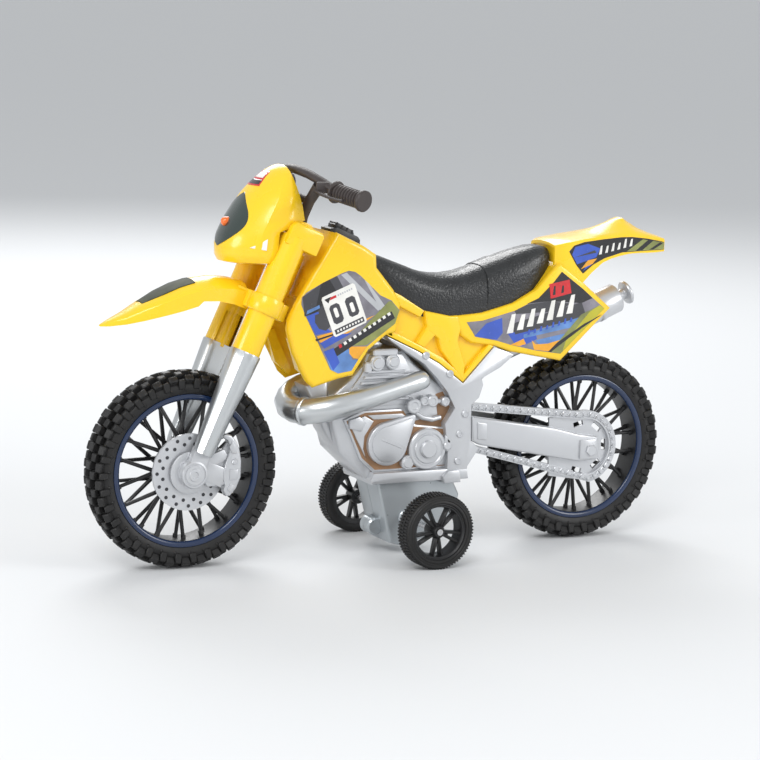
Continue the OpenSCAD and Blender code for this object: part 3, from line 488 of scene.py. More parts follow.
def build_rim_rings(name, x, body):
    shape = Shape()
    for side in (-1, 1):
        edge = [(32.7, 6.3), (32.9, 7.2), (33.6, 7.7), (34.6, 7.8), (35.3, 7.6), (35.5, 6.6)]
        shape.turned(on_side(edge, side), (x, 0, AXLE_Z), steps=120)
    shape.finish(name, body, "navy_paint", "navy", [body.replace("wheel", "rim_rings")], smooth=60)


def build_big_wheels():
    for body, x in (("front_wheel", FRONT_X), ("rear_wheel", REAR_X)):
        label = body.split("_")[0]
        build_tyre(label + "_knobbly_tyre", x, body)
        build_wheel(label + "_spoked_wheel", x, body)
        build_rim_rings(label + "_rim_edges", x, body)


# ---- small drive wheels -----------------------------------------------------

# Turned profiles on the rider's left: radius, distance outwards.
SMALL_RIM = [(11.3, -3.6), (13.4, -4.2), (13.4, 4.2), (12.9, 4.3), (12.4, 3.7), (11.9, 3.7), (11.3, 2.0)]
SMALL_HUB = [(1.55, -4.6), (3.6, -4.6), (3.6, 1.6), (3.1, 2.4), (3.0, 3.4), (2.4, 4.2), (1.9, 4.2),
             (1.55, 3.6)]
SMALL_TYRE = [(13.4, -4.6), (14.4, -5.15), (15.9, -5.1), (16.9, -4.5), (17.2, -3.9), (17.2, 3.9), (16.9, 4.5),
              (16.4, 4.85), (16.0, 4.8), (15.7, 5.1), (15.1, 5.15), (14.8, 4.8), (14.3, 5.05), (13.8, 5.0),
              (13.4, 4.6)]


def build_small_wheels():
    wheel, tyre = Shape(), Shape()
    for side in (-1, 1):
        centre = Vector((DRIVE_X, DRIVE_Y * side, DRIVE_Z))
        wheel.turned(on_side(SMALL_RIM, side), centre, steps=72)
        wheel.turned(on_side(SMALL_HUB, side), centre, steps=32)
        for i in range(SMALL_SPOKES):
            for lean in (-11, 11):
                turn = Matrix.Translation(centre) @ Matrix.Rotation(math.radians(72 * i + 18 + lean), 4, "Y")
                arm = wheel.block((7.2, 1.1 * side, 0), (9.4, 3.0, 1.5), edge=0.3)
                rib = wheel.block((7.4, 2.7 * side, 0), (9.0, 0.6, 0.7), edge=0.2)
                wheel.move(turn, arm + rib)
            turn = Matrix.Translation(centre) @ Matrix.Rotation(math.radians(72 * i + 18), 4, "Y")
            web = wheel.block((4.2, 0.9 * side, 0), (3.4, 2.2, 2.4), edge=0.3)
            wheel.move(turn, web)
        tyre.turned(on_side(SMALL_TYRE, side), centre, steps=96)
        for row, phase in ((2.9, 0), (0, 0.5), (-2.9, 0)):
            turn = Matrix.Rotation(math.radians(phase * 5),
                                   4, "Y") @ Matrix.Translation((0, row * side, 17.3))
            rib = tyre.block((0, 0, 0), (0.75, 2.5, 0.75))
            tyre.move(Matrix.Translation(centre) @ turn, rib)
            tyre.around(rib, centre, ACROSS, RIBS)
    wheel.finish("small_drive_wheels", "drive_axle", "black_plastic", "black", ["small_wheels"])
    tyre.finish("small_drive_tyres", "drive_axle", "black_tyre", "tyre", ["small_tyres"])


# ---- fork -------------------------------------------------------------------

# Height up the fork leg from the axle, and radius.
LEG_STATIONS = [(10, 4.6), (13, 4.95), (30, 5.8), (56.5, 7.15), (59.2, 7.3), (59.9, 7.1)]
AXLE_BOSS = [(0, 12.3), (6.3, 12.3), (6.5, 12.8), (6.5, 16.2), (6.1, 16.9), (5.3, 17.1), (5.0, 16.7),
             (4.6, 16.7), (4.4, 17.2), (3.0, 17.3), (2.8, 17.8), (1.5, 17.9), (1.3, 17.4), (0, 17.4)]


def leg_ring(w, r, side):
    """A round section with a raised ridge and a groove beside it, flattened on the wheel's side."""
    ring = []
    for i in range(40):
        a = 2 * math.pi * i / 40
        ridge = 0.5 * math.exp(-((a - math.radians(62)) / 0.10) ** 2)
        groove = 0.35 * math.exp(-((a - math.radians(82)) / 0.12) ** 2)
        reach = r + ridge - groove
        inner = 10.4 if w > 18 else 12.4
        ring.append((reach * math.cos(a), max(LEG_Y + reach * math.sin(a), inner) * side, w))
    return ring


def build_fork():
    steer = "steering"
    for side, label in ((1, "left"), (-1, "right")):
        leg = Shape()
        leg.loft([leg_ring(w, r, side) for w, r in LEG_STATIONS])
        leg.move(fork_frame())
        leg.turned(on_side(AXLE_BOSS, side), FRONT_AXLE, steps=48, paint=1)
        foot = leg.block((0.4, 14.6 * side, 6), (8.4, 4.4, 12), edge=0.8, steps=2, paint=1)
        leg.move(fork_frame(), foot)
        leg.finish("fork_lower_" + label, steer, "bright_silver", "bright silver", ["fork_leg_" + label],
                   smooth=30)

        tube = Shape()
        tube.turned([(5.2, 58.5), (6.45, 58.5), (6.6, 59.0), (6.5, 75), (6.5, 116.3), (5.9, 117.0),
                     (5.2, 117.0)],
                    (0, LEG_Y * side, 0), axis=UP, steps=48)
        if side < 0:
            # The right-hand tube is cut flat on its inner side near its foot.
            gap = [f for f in tube.bm.faces if f.calc_center_median().y > -LEG_Y + 4.6
                   and f.calc_center_median().z < 76]
            bmesh.ops.delete(tube.bm, geom=gap, context="FACES")
            rim = [e for e in tube.bm.edges if len(e.link_faces) == 1]
            bmesh.ops.holes_fill(tube.bm, edges=rim, sides=4)
        tube.move(fork_frame())
        tube.finish("fork_upper_" + label, steer, "yellow_plastic", "yellow", ["fork_tube_" + label])

    crown = Shape()
    plate = crown.slab([(-14, 79), (13, 79), (13, 87), (-14, 87)], -9.5, 9.5)
    wide = crown.slab([(-13, 79), (8.5, 79), (8.5, 87), (-13, 87)], -13, 13)
    crown.soften(plate + wide, 0.8)
    for side in (-1, 1):
        crown.turned([(6.55, 79), (7.3, 79), (7.8, 79.7), (7.8, 86.3), (7.3, 87), (6.55, 87)],
                     (0, LEG_Y * side, 0), axis=UP, steps=40)
        crown.block((0, 11.4 * side, 83), (5, 5, 7.4), edge=0.5)
        crown.block((-6.9, 14 * side, 83), (3.4, 4, 6.4), edge=0.6)
    crown.move(fork_frame())
    crown.finish("lower_crown", steer, "yellow_plastic", "yellow", ["fork_crown"])

    clamp = Shape()
    top = clamp.slab([(-11.5, 112), (5.5, 112), (5.5, 120.5), (3.8, 123), (-10.2, 123), (-11.5, 121.6)],
                     -21.5, 21.5)
    clamp.soften(top, 0.9, angle=25)
    for y in (-7.5, 7.5):
        clamp.block((-5.4, y, 123.6), (6.6, 7, 3.2), edge=0.7, steps=2)
    for y in (-LEG_Y, LEG_Y):
        clamp.turned([(0, 122.6), (4.6, 122.6), (4.6, 123.6), (4.0, 124.0), (0, 124.0)], (-2.4, y, 0),
                     axis=UP, steps=24)
        clamp.block((-2.4, y, 124.0), (4.8, 0.9, 0.7))
    clamp.move(fork_frame())
    clamp.finish("upper_clamp", steer, "yellow_plastic", "yellow", ["top_clamp"])


# ---- brake ------------------------------------------------------------------

CALIPER = [  # outline, inner and outer side, rounding and its steps
    ([(96.5, 51.8), (91, 54.6), (88.4, 57.4), (86.4, 60.4), (83.4, 57.8), (81.4, 52.6), (80.8, 47.6),
      (81.6, 42.4), (84, 37.6), (86.8, 36.2), (90.6, 38.6), (96.8, 39.6), (98.4, 43.6), (98.2, 48.4)],
     12.5, 13.7, 0.4, 2),
    ([(89.4, 61.2), (90.4, 62.2), (89, 63.3), (86.2, 62.6), (83.6, 59.6), (82.0, 56.2), (80.9, 50.4),
      (81.0, 43.0), (83.2, 38), (86.2, 34.6), (88.2, 34.6), (89.4, 37.4), (88.6, 39.4), (89.6, 42.8),
      (89.4, 46.4), (88.4, 50.6), (87.0, 54.8), (86.9, 58.2), (88, 60.4)], 12.5, 16.3, 0.8, 3),
    ([(87.4, 57.4), (85.8, 60.2), (84.2, 57.6), (83.4, 54), (86, 54.4)], 15.6, 16.9, 0.5, 2),
    ([(86.8, 42), (82.6, 42.4), (82.8, 46.8), (86.8, 47)], 15.6, 16.8, 0.4, 2),
    ([(86.4, 36.2), (84, 39), (86.4, 40.4), (88, 38)], 15.6, 16.8, 0.4, 2),
    ([(100.6, 52.4), (89.4, 56.2), (87.4, 53.6), (88.2, 51.4), (99, 46.4)], 12.5, 15.6, 0.7, 2),
    ([(99.6, 43.6), (88.2, 42.6), (88.4, 39.8), (97.2, 39.2)], 12.5, 15.4, 0.6, 2),
]
DISC_HOLES = 16


def build_brake():
    steer = "steering"
    caliper = Shape()
    for outline, y0, y1, edge, steps in CALIPER:
        caliper.slab(outline, y0, y1, edge=edge, steps=steps)
    caliper.turned([(0, 15.8), (1.5, 15.8), (1.5, 16.7), (1.2, 17), (0, 17)], (84.4, 0, 50.4), steps=6)
    arm = caliper.block((-9.5, 14.2, 3.5), (11, 3.0, 9), edge=0.6, steps=2)
    caliper.move(fork_frame(), arm)
    caliper.finish("caliper", steer, "silver_plastic", "silver", ["brake_caliper"])

    disc = Shape()
    disc.turned([(0, 11.0), (9.7, 11.0), (9.7, 11.9), (9.2, 12.2), (7.4, 12.3), (0, 12.3)],
                FRONT_AXLE, steps=56)
    disc.turned([(10.2, 9.2), (17.7, 9.2), (17.7, 9.3), (10.2, 9.3)], FRONT_AXLE, steps=64)
    disc.finish("disc_carrier", "front_wheel", "silver_plastic", "silver")
    # Dark dots over the disc's holes: painted shade seen through them.
    hole_shade_dots = Shape()
    for r, phase in ((15.6, 0), (13.0, 11.25)):
        place = Matrix.Rotation(math.radians(phase), 4, "Y") @ Vector((r, 9.8, 0))
        hole_shade_dot = hole_shade_dots.turned([(0, 0.18), (0.85, 0.18), (0.85, 0)], Vector(FRONT_AXLE) + place, steps=14)
        hole_shade_dots.around(hole_shade_dot, FRONT_AXLE, ACROSS, DISC_HOLES)
    hole_shade_dots.finish("disc_holes_painted_shade", "front_wheel", "dark_plastic", "print_dark_and_hole_shade")


# ---- headlight mask and front fender ----------------------------------------

MASK = [  # level, front, front of the flat side, back, half width
    (139.8, 84.0, 72.0, 67.0, 13.0), (140.6, 87.2, 74.2, 66.6, 16.6), (143.0, 88.3, 75.6, 66.6, 17.8),
    (148.0, 88.3, 76.0, 66.4, 18.4), (153.0, 86.9, 74.8, 66.1, 18.6), (154.8, 86.0, 74.0, 65.8, 18.6),
    (157.0, 84.9, 73.0, 60.0, 18.6), (160.0, 83.2, 71.6, 53.8, 18.6), (166.0, 79.4, 68.4, 54.6, 17.9),
    (171.0, 75.8, 65.6, 55.6, 16.5), (175.0, 72.2, 63.2, 56.3, 14.4), (178.6, 68.4, 61.2, 56.9, 11.8),
    (181.4, 64.8, 59.8, 57.3, 8.8), (183.2, 61.6, 58.8, 57.5, 5.4), (183.9, 59.6, 58.4, 57.8, 2.4),
]


COWL_OPEN_TO, COWL_WALL = 180, 1.3


def mask_level(z):
    """A row of MASK worked out for any height."""
    for low, high in zip(MASK, MASK[1:]):
        if z <= high[0]:
            t = (z - low[0]) / (high[0] - low[0])
            return [p + (q - p) * t for p, q in zip(low, high)]
    return list(MASK[-1])


def mask_front(z, y):
    """How far forward the cowl reaches at a height and a place across."""
    _, front, side, _, half = mask_level(z)
    return side + (front - side) * (1 - min(1, abs(y) / half) ** 2.4)


def mask_ring(level, front, side, back, half):
    ring = [(back, -half), (back + (side - back) * 0.5, -half)]
    for i in range(25):
        y = -half * math.cos(math.pi * i / 24)
        ring.append((mask_front(level, y), y))
    ring += [(back + (side - back) * 0.5, half), (back, half)]
    return [(x, y, level) for x, y in ring]


def cowl_patch(shape, z0, z1, half_width, lift, rows=18, paint=0):
    """A thin shell lying on the front of the cowl; half_width gives its reach at 0 to 1 up it."""
    rings = []
    for k in range(rows + 1):
        t = k / rows
        z, w = z0 + (z1 - z0) * t, max(0.25, half_width(t))
        across = [-w + 2 * w * i / 14 for i in range(15)]
        rings.append([(mask_front(z, y) + lift, y, z) for y in across]
                     + [(mask_front(z, y) - 1.6, y, z) for y in reversed(across)])
    shape.loft(rings, paint=paint)


def build_mask():
    shell = Shape()
    fine = []
    for one, two in zip(MASK, MASK[1:]):
        count = 3 if two[0] - one[0] > 3 else 1
        fine += [mask_level(one[0] + (two[0] - one[0]) * k / count) for k in range(count)]
    fine.append(list(MASK[-1]))
    shell.loft([mask_ring(*level) for level in fine])
    # The cowl is open behind, below its crown.
    backs = [f for f in shell.bm.faces if f.normal.x < -0.35 and len(f.verts) == 4
             and f.calc_center_median().z < COWL_OPEN_TO]
    bmesh.ops.delete(shell.bm, geom=backs, context="FACES")
    piece = shell.finish("headlight_cowl", "steering", "yellow_plastic", "yellow", ["headlight_mask"],
                         smooth=36)
    wall = piece.modifiers.new("wall", "SOLIDIFY")
    wall.thickness, wall.offset = COWL_WALL * MM, -1

    lens = Shape()
    cowl_patch(lens, 147.4, 171.4, lambda t: 12.6 * math.sin(math.pi * t) ** 0.8 * (1.12 - 0.3 * t), 0.35)
    lens.finish("smoked_lens", "steering", "clear_dark", "lens", ["headlight_lens"], smooth=45)

    sticker = Shape()
    cowl_patch(sticker, 174.6, 181.0, lambda t: 6.4 - 2.6 * t, 0.14, rows=8)
    cowl_patch(sticker, 175.3, 177.3, lambda t: 5.4 - 0.6 * t, 0.2, rows=4, paint=1)
    cowl_patch(sticker, 178.1, 180.2, lambda t: 4.0 - 0.6 * t, 0.2, rows=4, paint=2)
    sticker.finish("cowl_sticker", "steering", "decal_dark", "ink_red ink_black ink_white", smooth=45)

    lamp = Shape()
    lamp.turned([(0, 74), (2.1, 74), (2.1, 84.9), (1.9, 85.9), (1.3, 86.5), (0, 86.8)], (0, 0, 158.2),
                axis=FORWARD, steps=24)
    lamp.finish("orange_lamp", "steering", "orange_led", "orange", ["headlight_led"])

    def draw_light(shape, side):
        made = shape.slab([(79.6, 147.8), (72.0, 151.8), (72.4, 146.6)], 17.2, 19.1, edge=0.3)
        lean = Matrix(((1, 0, 0, 0), (-0.33, 1, 0, 0.33 * 72.4), (0, 0, 1, 0), (0, 0, 0, 1)))
        shape.move(lean, made)

    mirrored(draw_light, "side_lens", "steering", "white_plastic", "white", {1: ["side_lights"]})


FENDER = [  # station, half width, ridge, shoulder, lower edge
    (144.6, 0.9, 113.0, 112.6, 112.2), (141, 3.2, 114.8, 114.0, 112.4), (134, 6.2, 118.0, 116.6, 113.4),
    (126, 8.8, 122.6, 120.4, 115.2), (117, 10.8, 127.0, 124.2, 117.4), (109, 11.8, 130.4, 127.2, 119.4),
    (102, 12.2, 132.4, 129.0, 121.4), (99.5, 12.2, 133.0, 129.4, 123.6), (92, 11.8, 133.8, 130.0, 123.4),
    (84, 10.9, 133.2, 129.4, 121.6), (77, 10.0, 131.4, 127.6, 119.0),
]


def fender_ring(x, half, ridge, shoulder, low):
    """A thin curved section: over the top from side to side, and back under."""
    rise = ridge - shoulder
    wall = min(1.3, half * 0.6)
    top = [(-half, low), (-half, shoulder - 0.8), (-half * 0.94, shoulder),
           (-half * 0.62, shoulder + rise * 0.72), (-half * 0.22, ridge - 0.15), (0, ridge),
           (half * 0.22, ridge - 0.15), (half * 0.62, shoulder + rise * 0.72), (half * 0.94, shoulder),
           (half, shoulder - 0.8), (half, low)]
    under = [(half - wall, low), (half - wall, shoulder - 1.2), (half * 0.5, shoulder + rise * 0.6 - wall),
             (0, ridge - wall), (-half * 0.5, shoulder + rise * 0.6 - wall), (-half + wall, shoulder - 1.2),
             (-half + wall, low)]
    return [(x, y, max(z, low)) for y, z in top + under]


def build_front_fender():
    fender = Shape()
    fender.loft([fender_ring(*s) for s in FENDER])
    fender.finish("front_mudguard", "steering", "yellow_plastic", "yellow", ["front_fender"], smooth=32)

    print_ = Shape()
    rings = []
    for x, half, ridge, shoulder, low in FENDER[3:7]:
        rise = ridge - shoulder
        w = half * 0.62 * (0.7 if x > 120 else 1)
        ring = [(-w, shoulder + rise * 0.72 + 0.15), (-half * 0.2, ridge + 0.1), (half * 0.2, ridge + 0.1),
                (w, shoulder + rise * 0.72 + 0.15)]
        rings.append([(x, y, z + 0.25) for y, z in ring] + [(x, y, z - 0.2) for y, z in reversed(ring)])
    print_.loft(rings)
    print_.finish("mudguard_print", "steering", "decal_dark", "print_matt", ["fender_decal"], smooth=50)


# ---- handlebar --------------------------------------------------------------

# Paths on the rider's left: place and radius.
BAR_HALF = [((36.2, 40, 171.2), 2.1), ((39.8, 33, 172.6), 2.2), ((43, 27, 174.2), 2.5),
            ((46.2, 20, 177.4), 2.7), ((49.2, 12, 180.2), 2.8), ((51.2, 5, 181.6), 2.9),
            ((51.6, 0, 181.9), 2.9)]
BAR_POST = [((51.0, 7, 155.5), 3.0), ((50.4, 9, 161), 2.6), ((49.2, 13, 168), 2.5), ((47.0, 18, 175.4), 2.8)]
LEVER = [((46.8, 17, 174.8), 1.5), ((49.8, 22, 173.6), 1.3), ((50.2, 28, 172.6), 1.2),
         ((48.4, 34, 171.4), 1.1), ((46.4, 39, 170.8), 1.0), ((45.8, 40.5, 170.8), 1.3)]
GRIP_RIB_PITCH = 1.75


def build_handlebar():
    bar = Shape()
    bar.sweep(BAR_HALF + at_side(BAR_HALF[-2::-1], -1), steps=20, flat=(1, 0.72))
    for side in (-1, 1):
        bar.sweep(at_side(BAR_POST, side), steps=14)
        bar.block((46.2, 20.5 * side, 175.2), (6.4, 7.4, 5.2),
                  turn=Matrix.Rotation(math.radians(-24 * side), 4, "Z"),
                  edge=0.9, steps=2)
    bar.sweep([((49.6, -12, 168.6), 1.9), ((50.2, 0, 169.2), 2.1), ((49.6, 12, 168.6), 1.9)], steps=14)
    bar.finish("bent_bar", "steering", "dark_plastic", "grip", ["handlebar"])

    hold = Shape()
    for side in (-1, 1):
        start, end = Vector((43, 27 * side, 173.6)), Vector((37, 45 * side, 170.8))
        way, length = (end - start).normalized(), (end - start).length
        profile = [(0, 0), (5.0, 0), (5.2, 0.5), (5.0, 1.2), (3.5, 1.5)]
        t = 2.0
        while t < length - 3.6:
            profile += [(3.45, t), (4.1, t + 0.4), (4.1, t + 1.0), (3.45, t + 1.4)]
            t += GRIP_RIB_PITCH
        profile += [(3.6, length - 2.6), (4.6, length - 2.4), (4.9, length - 1.6), (4.9, length - 0.5),
                    (4.4, length), (0, length)]
        hold.turned(profile, start, axis=way, steps=32)
    hold.finish("ribbed_grips", "steering", "dark_plastic", "grip", ["grips"], smooth=45)

    levers = Shape()
    for side in (-1, 1):
        levers.sweep(at_side(LEVER, side), steps=12, flat=(1, 0.6))
    levers.finish("lever_blades", "steering", "dark_plastic", "grip", ["brake_levers"])


# ---- body shells ------------------------------------------------------------

SHROUD = [(33.5, 86), (46, 82.5), (50, 86), (57, 99), (60.2, 110), (59.6, 114.5), (56, 122), (47.2, 136),
          (39.2, 148.6), (36, 154), (22, 147.5), (15.5, 143.5), (15, 137.4), (6, 127), (2, 120.4), (4, 106.9),
          (9, 105.7), (18, 98.9), (25.7, 87.4)]
TANK = [(33.7, 86.4), (38, 90), (46, 104), (49, 116), (51.5, 124), (46.6, 136), (38.8, 148.2), (35.8, 153.6),
        (22.2, 147.1), (15.9, 143.2), (15.3, 137.2), (6.4, 126.8), (2.4, 120.4), (4.3, 107.2), (9.2, 106),
        (18, 99.4), (25.9, 87.8)]
PANEL = [(-86, 89.8), (-58, 95.3), (-49, 98.4), (-33, 81.7), (-20, 91.4), (-8, 97.9), (9, 105.9), (13, 118),
         (11, 129), (1.6, 124), (-10.5, 116.5), (-25, 113.5), (-42, 114.3), (-59, 118.4), (-71.4, 124.5),
         (-79, 132.5), (-83.6, 136.9), (-96.4, 128), (-113, 114.7)]
REAR_PANEL = [(-86, 89.8), (-58, 95.3), (-49, 98.4), (-36.6, 100.2), (-31, 104), (-27.5, 113.3), (-42, 114.3),
              (-59, 118.4), (-71.4, 124.5), (-79, 132.5), (-83.6, 136.9), (-96.4, 128), (-113, 114.7)]
HUB = [(-11, 116.4), (-25, 113.4), (-29, 113.5), (-31.2, 108), (-29.6, 101.8), (-34, 90), (-33.1, 81.8),
       (-25.6, 91), (-20.4, 97.5), (-18.9, 103), (-13, 107)]
RAILS = [
    [(11, 128.4), (13, 118), (9, 105.9), (4.4, 103.8), (7.4, 113), (6.6, 121), (-9, 113.4), (-11, 116.4),
     (1.6, 124)],
    [(6, 107.5), (9, 105.9), (-8, 97.9), (-20, 91.4), (-33, 81.7), (-34.5, 83.2), (-21.5, 93.8), (-9, 100.4)],
    [(-49, 98.4), (-33, 81.7), (-32.4, 84.6), (-46.2, 99.2)],
    [(-15, 112), (-19.2, 106.5), (-11.6, 99), (-7.8, 101)],
]


def draw_body(shape, side):
    """Tank and panels in layers from the middle plane outwards."""
    shape.slab(TANK, 0.05, 14.4, edge=1.5)
    shape.slab(SHROUD, 14.35, 17, edge=2.3, steps=4)
    shape.slab(PANEL, 0.05, 12.4)
    shape.slab(REAR_PANEL, 11.5, 15.5, edge=1.5, steps=3)
    shape.slab(HUB, 11.5, 15.3, edge=1.1, steps=3)
    for rail in RAILS:
        shape.slab(rail, 11.5, 15.1, edge=0.6)
    shape.slab([(53, 91), (46.2, 85), (44.6, 86.5), (54, 106.5), (58, 105.4)], 10.8, 14.8)


def build_body():
    mirrored(draw_body, "body_shell", "chassis", "yellow_plastic", "yellow",
             {1: ["body_left"], -1: ["body_right"]}, smooth=30)


# Printed films: outlines in side view and the ink of each, laid one over another.
SHROUD_FILM = [(34, 89), (37.9, 90.9), (42, 98.5), (46.4, 107), (51.5, 116.5), (53.6, 121.5), (53.4, 124.6),
               (51, 127), (43, 131.2), (33, 135.5), (30, 136.4), (26.8, 135.8), (24, 134), (13.4, 124.6),
               (7.5, 122), (3.2, 117.4), (5.4, 111.2), (12.8, 106), (19.4, 101), (24, 95), (27.2, 90)]
SHROUD_PRINT = [
    ("shade", [(53.2, 125), (43, 131.2), (36, 134.2), (31, 126), (38, 117), (51.8, 116)]),
    ("black", [(44, 130.6), (39.8, 132.6), (36.4, 127.6), (41, 124), (46, 117), (52, 116.6), (46, 121)]),
    ("pale", [(34, 134.6), (31.2, 135.6), (12, 118.5), (14.5, 117.5)]),
    ("pale", [(22, 132), (19.6, 130.2), (9.6, 118), (12.6, 117)]),
    ("blue", [(51, 116), (45, 118), (43, 112), (37.8, 108.4), (46, 107.2)]),
    ("sky", [(50.6, 118.6), (44.6, 121), (44.2, 119.6), (51, 116.8)]),
    ("shade", [(46.6, 116.5), (42.4, 117.6), (38.8, 115.6), (38, 111.6), (40.8, 109), (44.4, 110),
               (46.6, 113)]),
    ("gold", [(45.4, 106.6), (34.6, 109), (16, 115.5), (33, 105.6), (43.6, 103.6)]),
    ("blue", [(43.6, 103.4), (36, 107.2), (27.7, 107.4), (41.4, 100.8)]),
    ("olive", [(19.4, 112), (9.2, 121.6), (7.6, 121.8), (3.4, 117.2), (5.4, 111.2), (12.8, 106), (20, 101.6),
                   (29, 101.6)]),
    ("sky", [(41, 99.2), (29.1, 100.8), (27, 95.1), (24, 95), (27.2, 90), (34, 89), (37.9, 90.9)]),
    ("blue", [(41.6, 99.4), (36.6, 101), (33.4, 94), (36.6, 90.4)]),
    ("gold", [(28.8, 101.3), (19.6, 101), (24, 95.4), (26.4, 95.8), (28.6, 98)]),
    ("black", [(36.6, 100.4), (7.4, 117), (5.6, 113.8), (34.9, 97)]),
    ("black", [(46, 105.2), (33, 108.6), (33.4, 107.8), (45.6, 104.4)]),
]
PANEL_FILM = [(-33.4, 110.3), (-42, 110.8), (-59, 114.9), (-72, 120.5), (-80, 128), (-84.3, 133),
              (-96, 124.8),
              (-109, 114.6), (-85.4, 93.4), (-72, 95.4), (-58, 98.6), (-50, 101), (-38.4, 103.2)]
PANEL_PRINT = [
    ("black", [(-84.3, 133), (-97, 124), (-102, 119.8), (-96, 117.6), (-78, 119), (-66, 118.2), (-72, 120.6),
                   (-80, 128)]),
    ("shade", [(-66, 117.8), (-78, 119), (-90, 117.6), (-84, 114), (-60, 113.4), (-59, 114.9)]),
    ("blue", [(-37.8, 103.6), (-44, 109.4), (-52.4, 111.8), (-53, 104.6), (-50, 101.4), (-40.5, 103)]),
    ("blue", [(-56, 104), (-70, 107), (-72, 101), (-64, 97.8), (-60, 98.8)]),
    ("shade", [(-57, 108.6), (-96, 118), (-99, 111), (-60, 103.6)]),
    ("sky", [(-64.5, 103.4), (-94.6, 110.6), (-93.4, 106.4), (-64.6, 101.6)]),
    ("sky", [(-71, 100.4), (-92.6, 104), (-88, 99.4), (-75, 96.4)]),
    ("gold", [(-57.6, 98.7), (-64.6, 101.4), (-66, 98.8), (-62.5, 97.9)]),
    ("gold", [(-69.2, 100.4), (-71.4, 98.4), (-78, 98.6), (-86, 100.4), (-80, 94.6), (-70.6, 95.9)]),
    ("olive", [(-96, 112), (-106.5, 116.3), (-109, 114.6), (-85.4, 93.5), (-80.4, 94.4), (-83.4, 98.8)]),
    ("lime", [(-100.5, 113), (-106, 116.2), (-109, 114.6), (-86.4, 94.6), (-88, 99.4)]),
    ("black", [(-78.4, 94.6), (-83.4, 99), (-98, 107.6), (-107.6, 111.6), (-97, 105.6), (-84.4, 97.4),
                   (-80, 94.4)]),
    ("red", [(-77.6, 127.2), (-88.6, 129.2), (-90, 122.6), (-78.6, 120.2)]),
]
TAIL_FILM = [(-88.8, 142.4), (-93.2, 135.6), (-97, 131.6), (-102.5, 135.8), (-108.8, 138.8), (-118.5, 141.4),
             (-142.4, 142.4), (-142.4, 146), (-133, 147.8), (-124, 148.8), (-118, 148.8), (-108, 148),
             (-97, 146.8), (-91.4, 145.2)]
TAIL_PRINT = [
    ("blue", [(-90.4, 141), (-93.4, 136.2), (-104, 139.4), (-106, 143.6), (-99, 146), (-92, 144.6)]),
    ("blue", [(-97, 133), (-101.5, 135.8), (-100, 138)]),
    ("gold", [(-95.6, 133.8), (-102, 136.2), (-104.4, 138.8), (-99.4, 138)]),
    ("shade", [(-92, 139.6), (-104, 141.6), (-103, 142.8)]),
    ("olive", [(-121, 141.8), (-142.2, 142.6), (-142.2, 145.8), (-130, 147.6)]),
    ("black", [(-126, 142), (-130, 142.3), (-136, 146.8), (-133, 147.2)]),
    ("black", [(-134, 142.5), (-136.4, 142.6), (-141.6, 145.4), (-140, 146)]),
]
FILM_THICKNESS, INK_LIFT = 0.16, 0.012
STROKE_HEIGHTS = (1, 0.82, 0.94, 0.78, 1.04, 0.86)


def ink(name):
    """The place of an ink in the list of a film's finishes."""
    return list(INKS).index(name)


def film(shape, outline, prints, y, base):
    """A film with its printed areas, each a little above the one before; gives the height of the last."""
    top = y + FILM_THICKNESS
    shape.slab(outline, y, top, edge=0.06, steps=1, paint=ink(base))
    for name, area in prints:
        top += INK_LIFT
        shape.slab(area, y + 0.02, top, paint=ink(name))
    return top


def strokes(shape, start, step, count, tall, lean, wide, y0, y1, colour):
    """A row of slanted brush marks that spell nothing."""
    for i in range(count):
        x, z = start[0] + step[0] * i, start[1] + step[1] * i
        h = tall * STROKE_HEIGHTS[i % len(STROKE_HEIGHTS)]
        shape.slab([(x, z), (x - wide, z + 0.3), (x - wide * 0.6 - lean, z + h), (x - lean, z + h * 0.96)],
                   y0, y1, paint=ink(colour))


def draw_shroud_film(shape, side):
    top = film(shape, SHROUD_FILM, SHROUD_PRINT, 17.01, "grey")
    for i in range(11):
        x, z = 33.6 - 2.45 * i, 100.6 + 1.42 * i
        colour, rise = ("white", 1.15) if i else ("red", 1.5)
        shape.slab([(x, z), (x - 1.3, z + 0.75), (x - 0.6, z + 0.75 + rise), (x + 0.75, z + rise)],
                   17.05, top + 0.03, paint=ink(colour))


PLATE_X, PLATE_Z, PLATE_TILT = 31.9, 118.3, math.radians(22)
PLATE_RING = [(2.7, -3.6), (2.7, 3.4), (1.6, 4.6), (-1.6, 4.6), (-2.7, 3.4), (-2.7, -3.6), (-1.6, -4.8),
              (1.6, -4.8)]


def draw_plate(shape, side):
    """A white board with two plain rings, a dashed band below and a small mark above."""
    c, s = math.cos(PLATE_TILT), math.sin(PLATE_TILT)

    def mark(colour, top, points, low=17.1, **rim):
        area = [(PLATE_X + u * c + v * s, PLATE_Z - u * s + v * c) for u, v in points]
        shape.slab(area, low, top, paint=ink(colour), **rim)

    def dash(colour, top, u, v, width, height):
        mark(colour, top, [(u, v), (u + width, v), (u + width, v + height), (u, v + height)])

    mark("white", 17.5, [(-8.2, -10), (8.2, -10), (9, -9), (9, 9), (8.2, 10), (-8.2, 10), (-9, 9), (-9, -9)],
         low=17.02, edge=0.12, steps=2)
    for u, rise in ((4.2, 0.5), (-4.2, -0.5)):
        mark("shade", 17.53, [(u + a, b + 0.2) for a, b in PLATE_RING])
        mark("white", 17.545, [(u + a * 0.36, b * 0.5 + 0.2 + rise) for a, b in PLATE_RING])
    dash("shade", 17.53, -7.8, -9, 15.6, 2.4)
    for i in range(9):
        dash("white", 17.545, -7 + 1.6 * i, -8.3, 0.9, 1)
    mark("black", 17.53, [(7.8, 8.6), (4.2, 8.6), (6.4, 6.2)])
    mark("red", 17.54, [(4.4, 8.4), (1.6, 8.4), (1.6, 7.2), (5.2, 7.2)])
    for i in range(7):
        dash("pale", 17.53, 0.8 - 1.2 * i, 7.4, -0.7, 0.8)


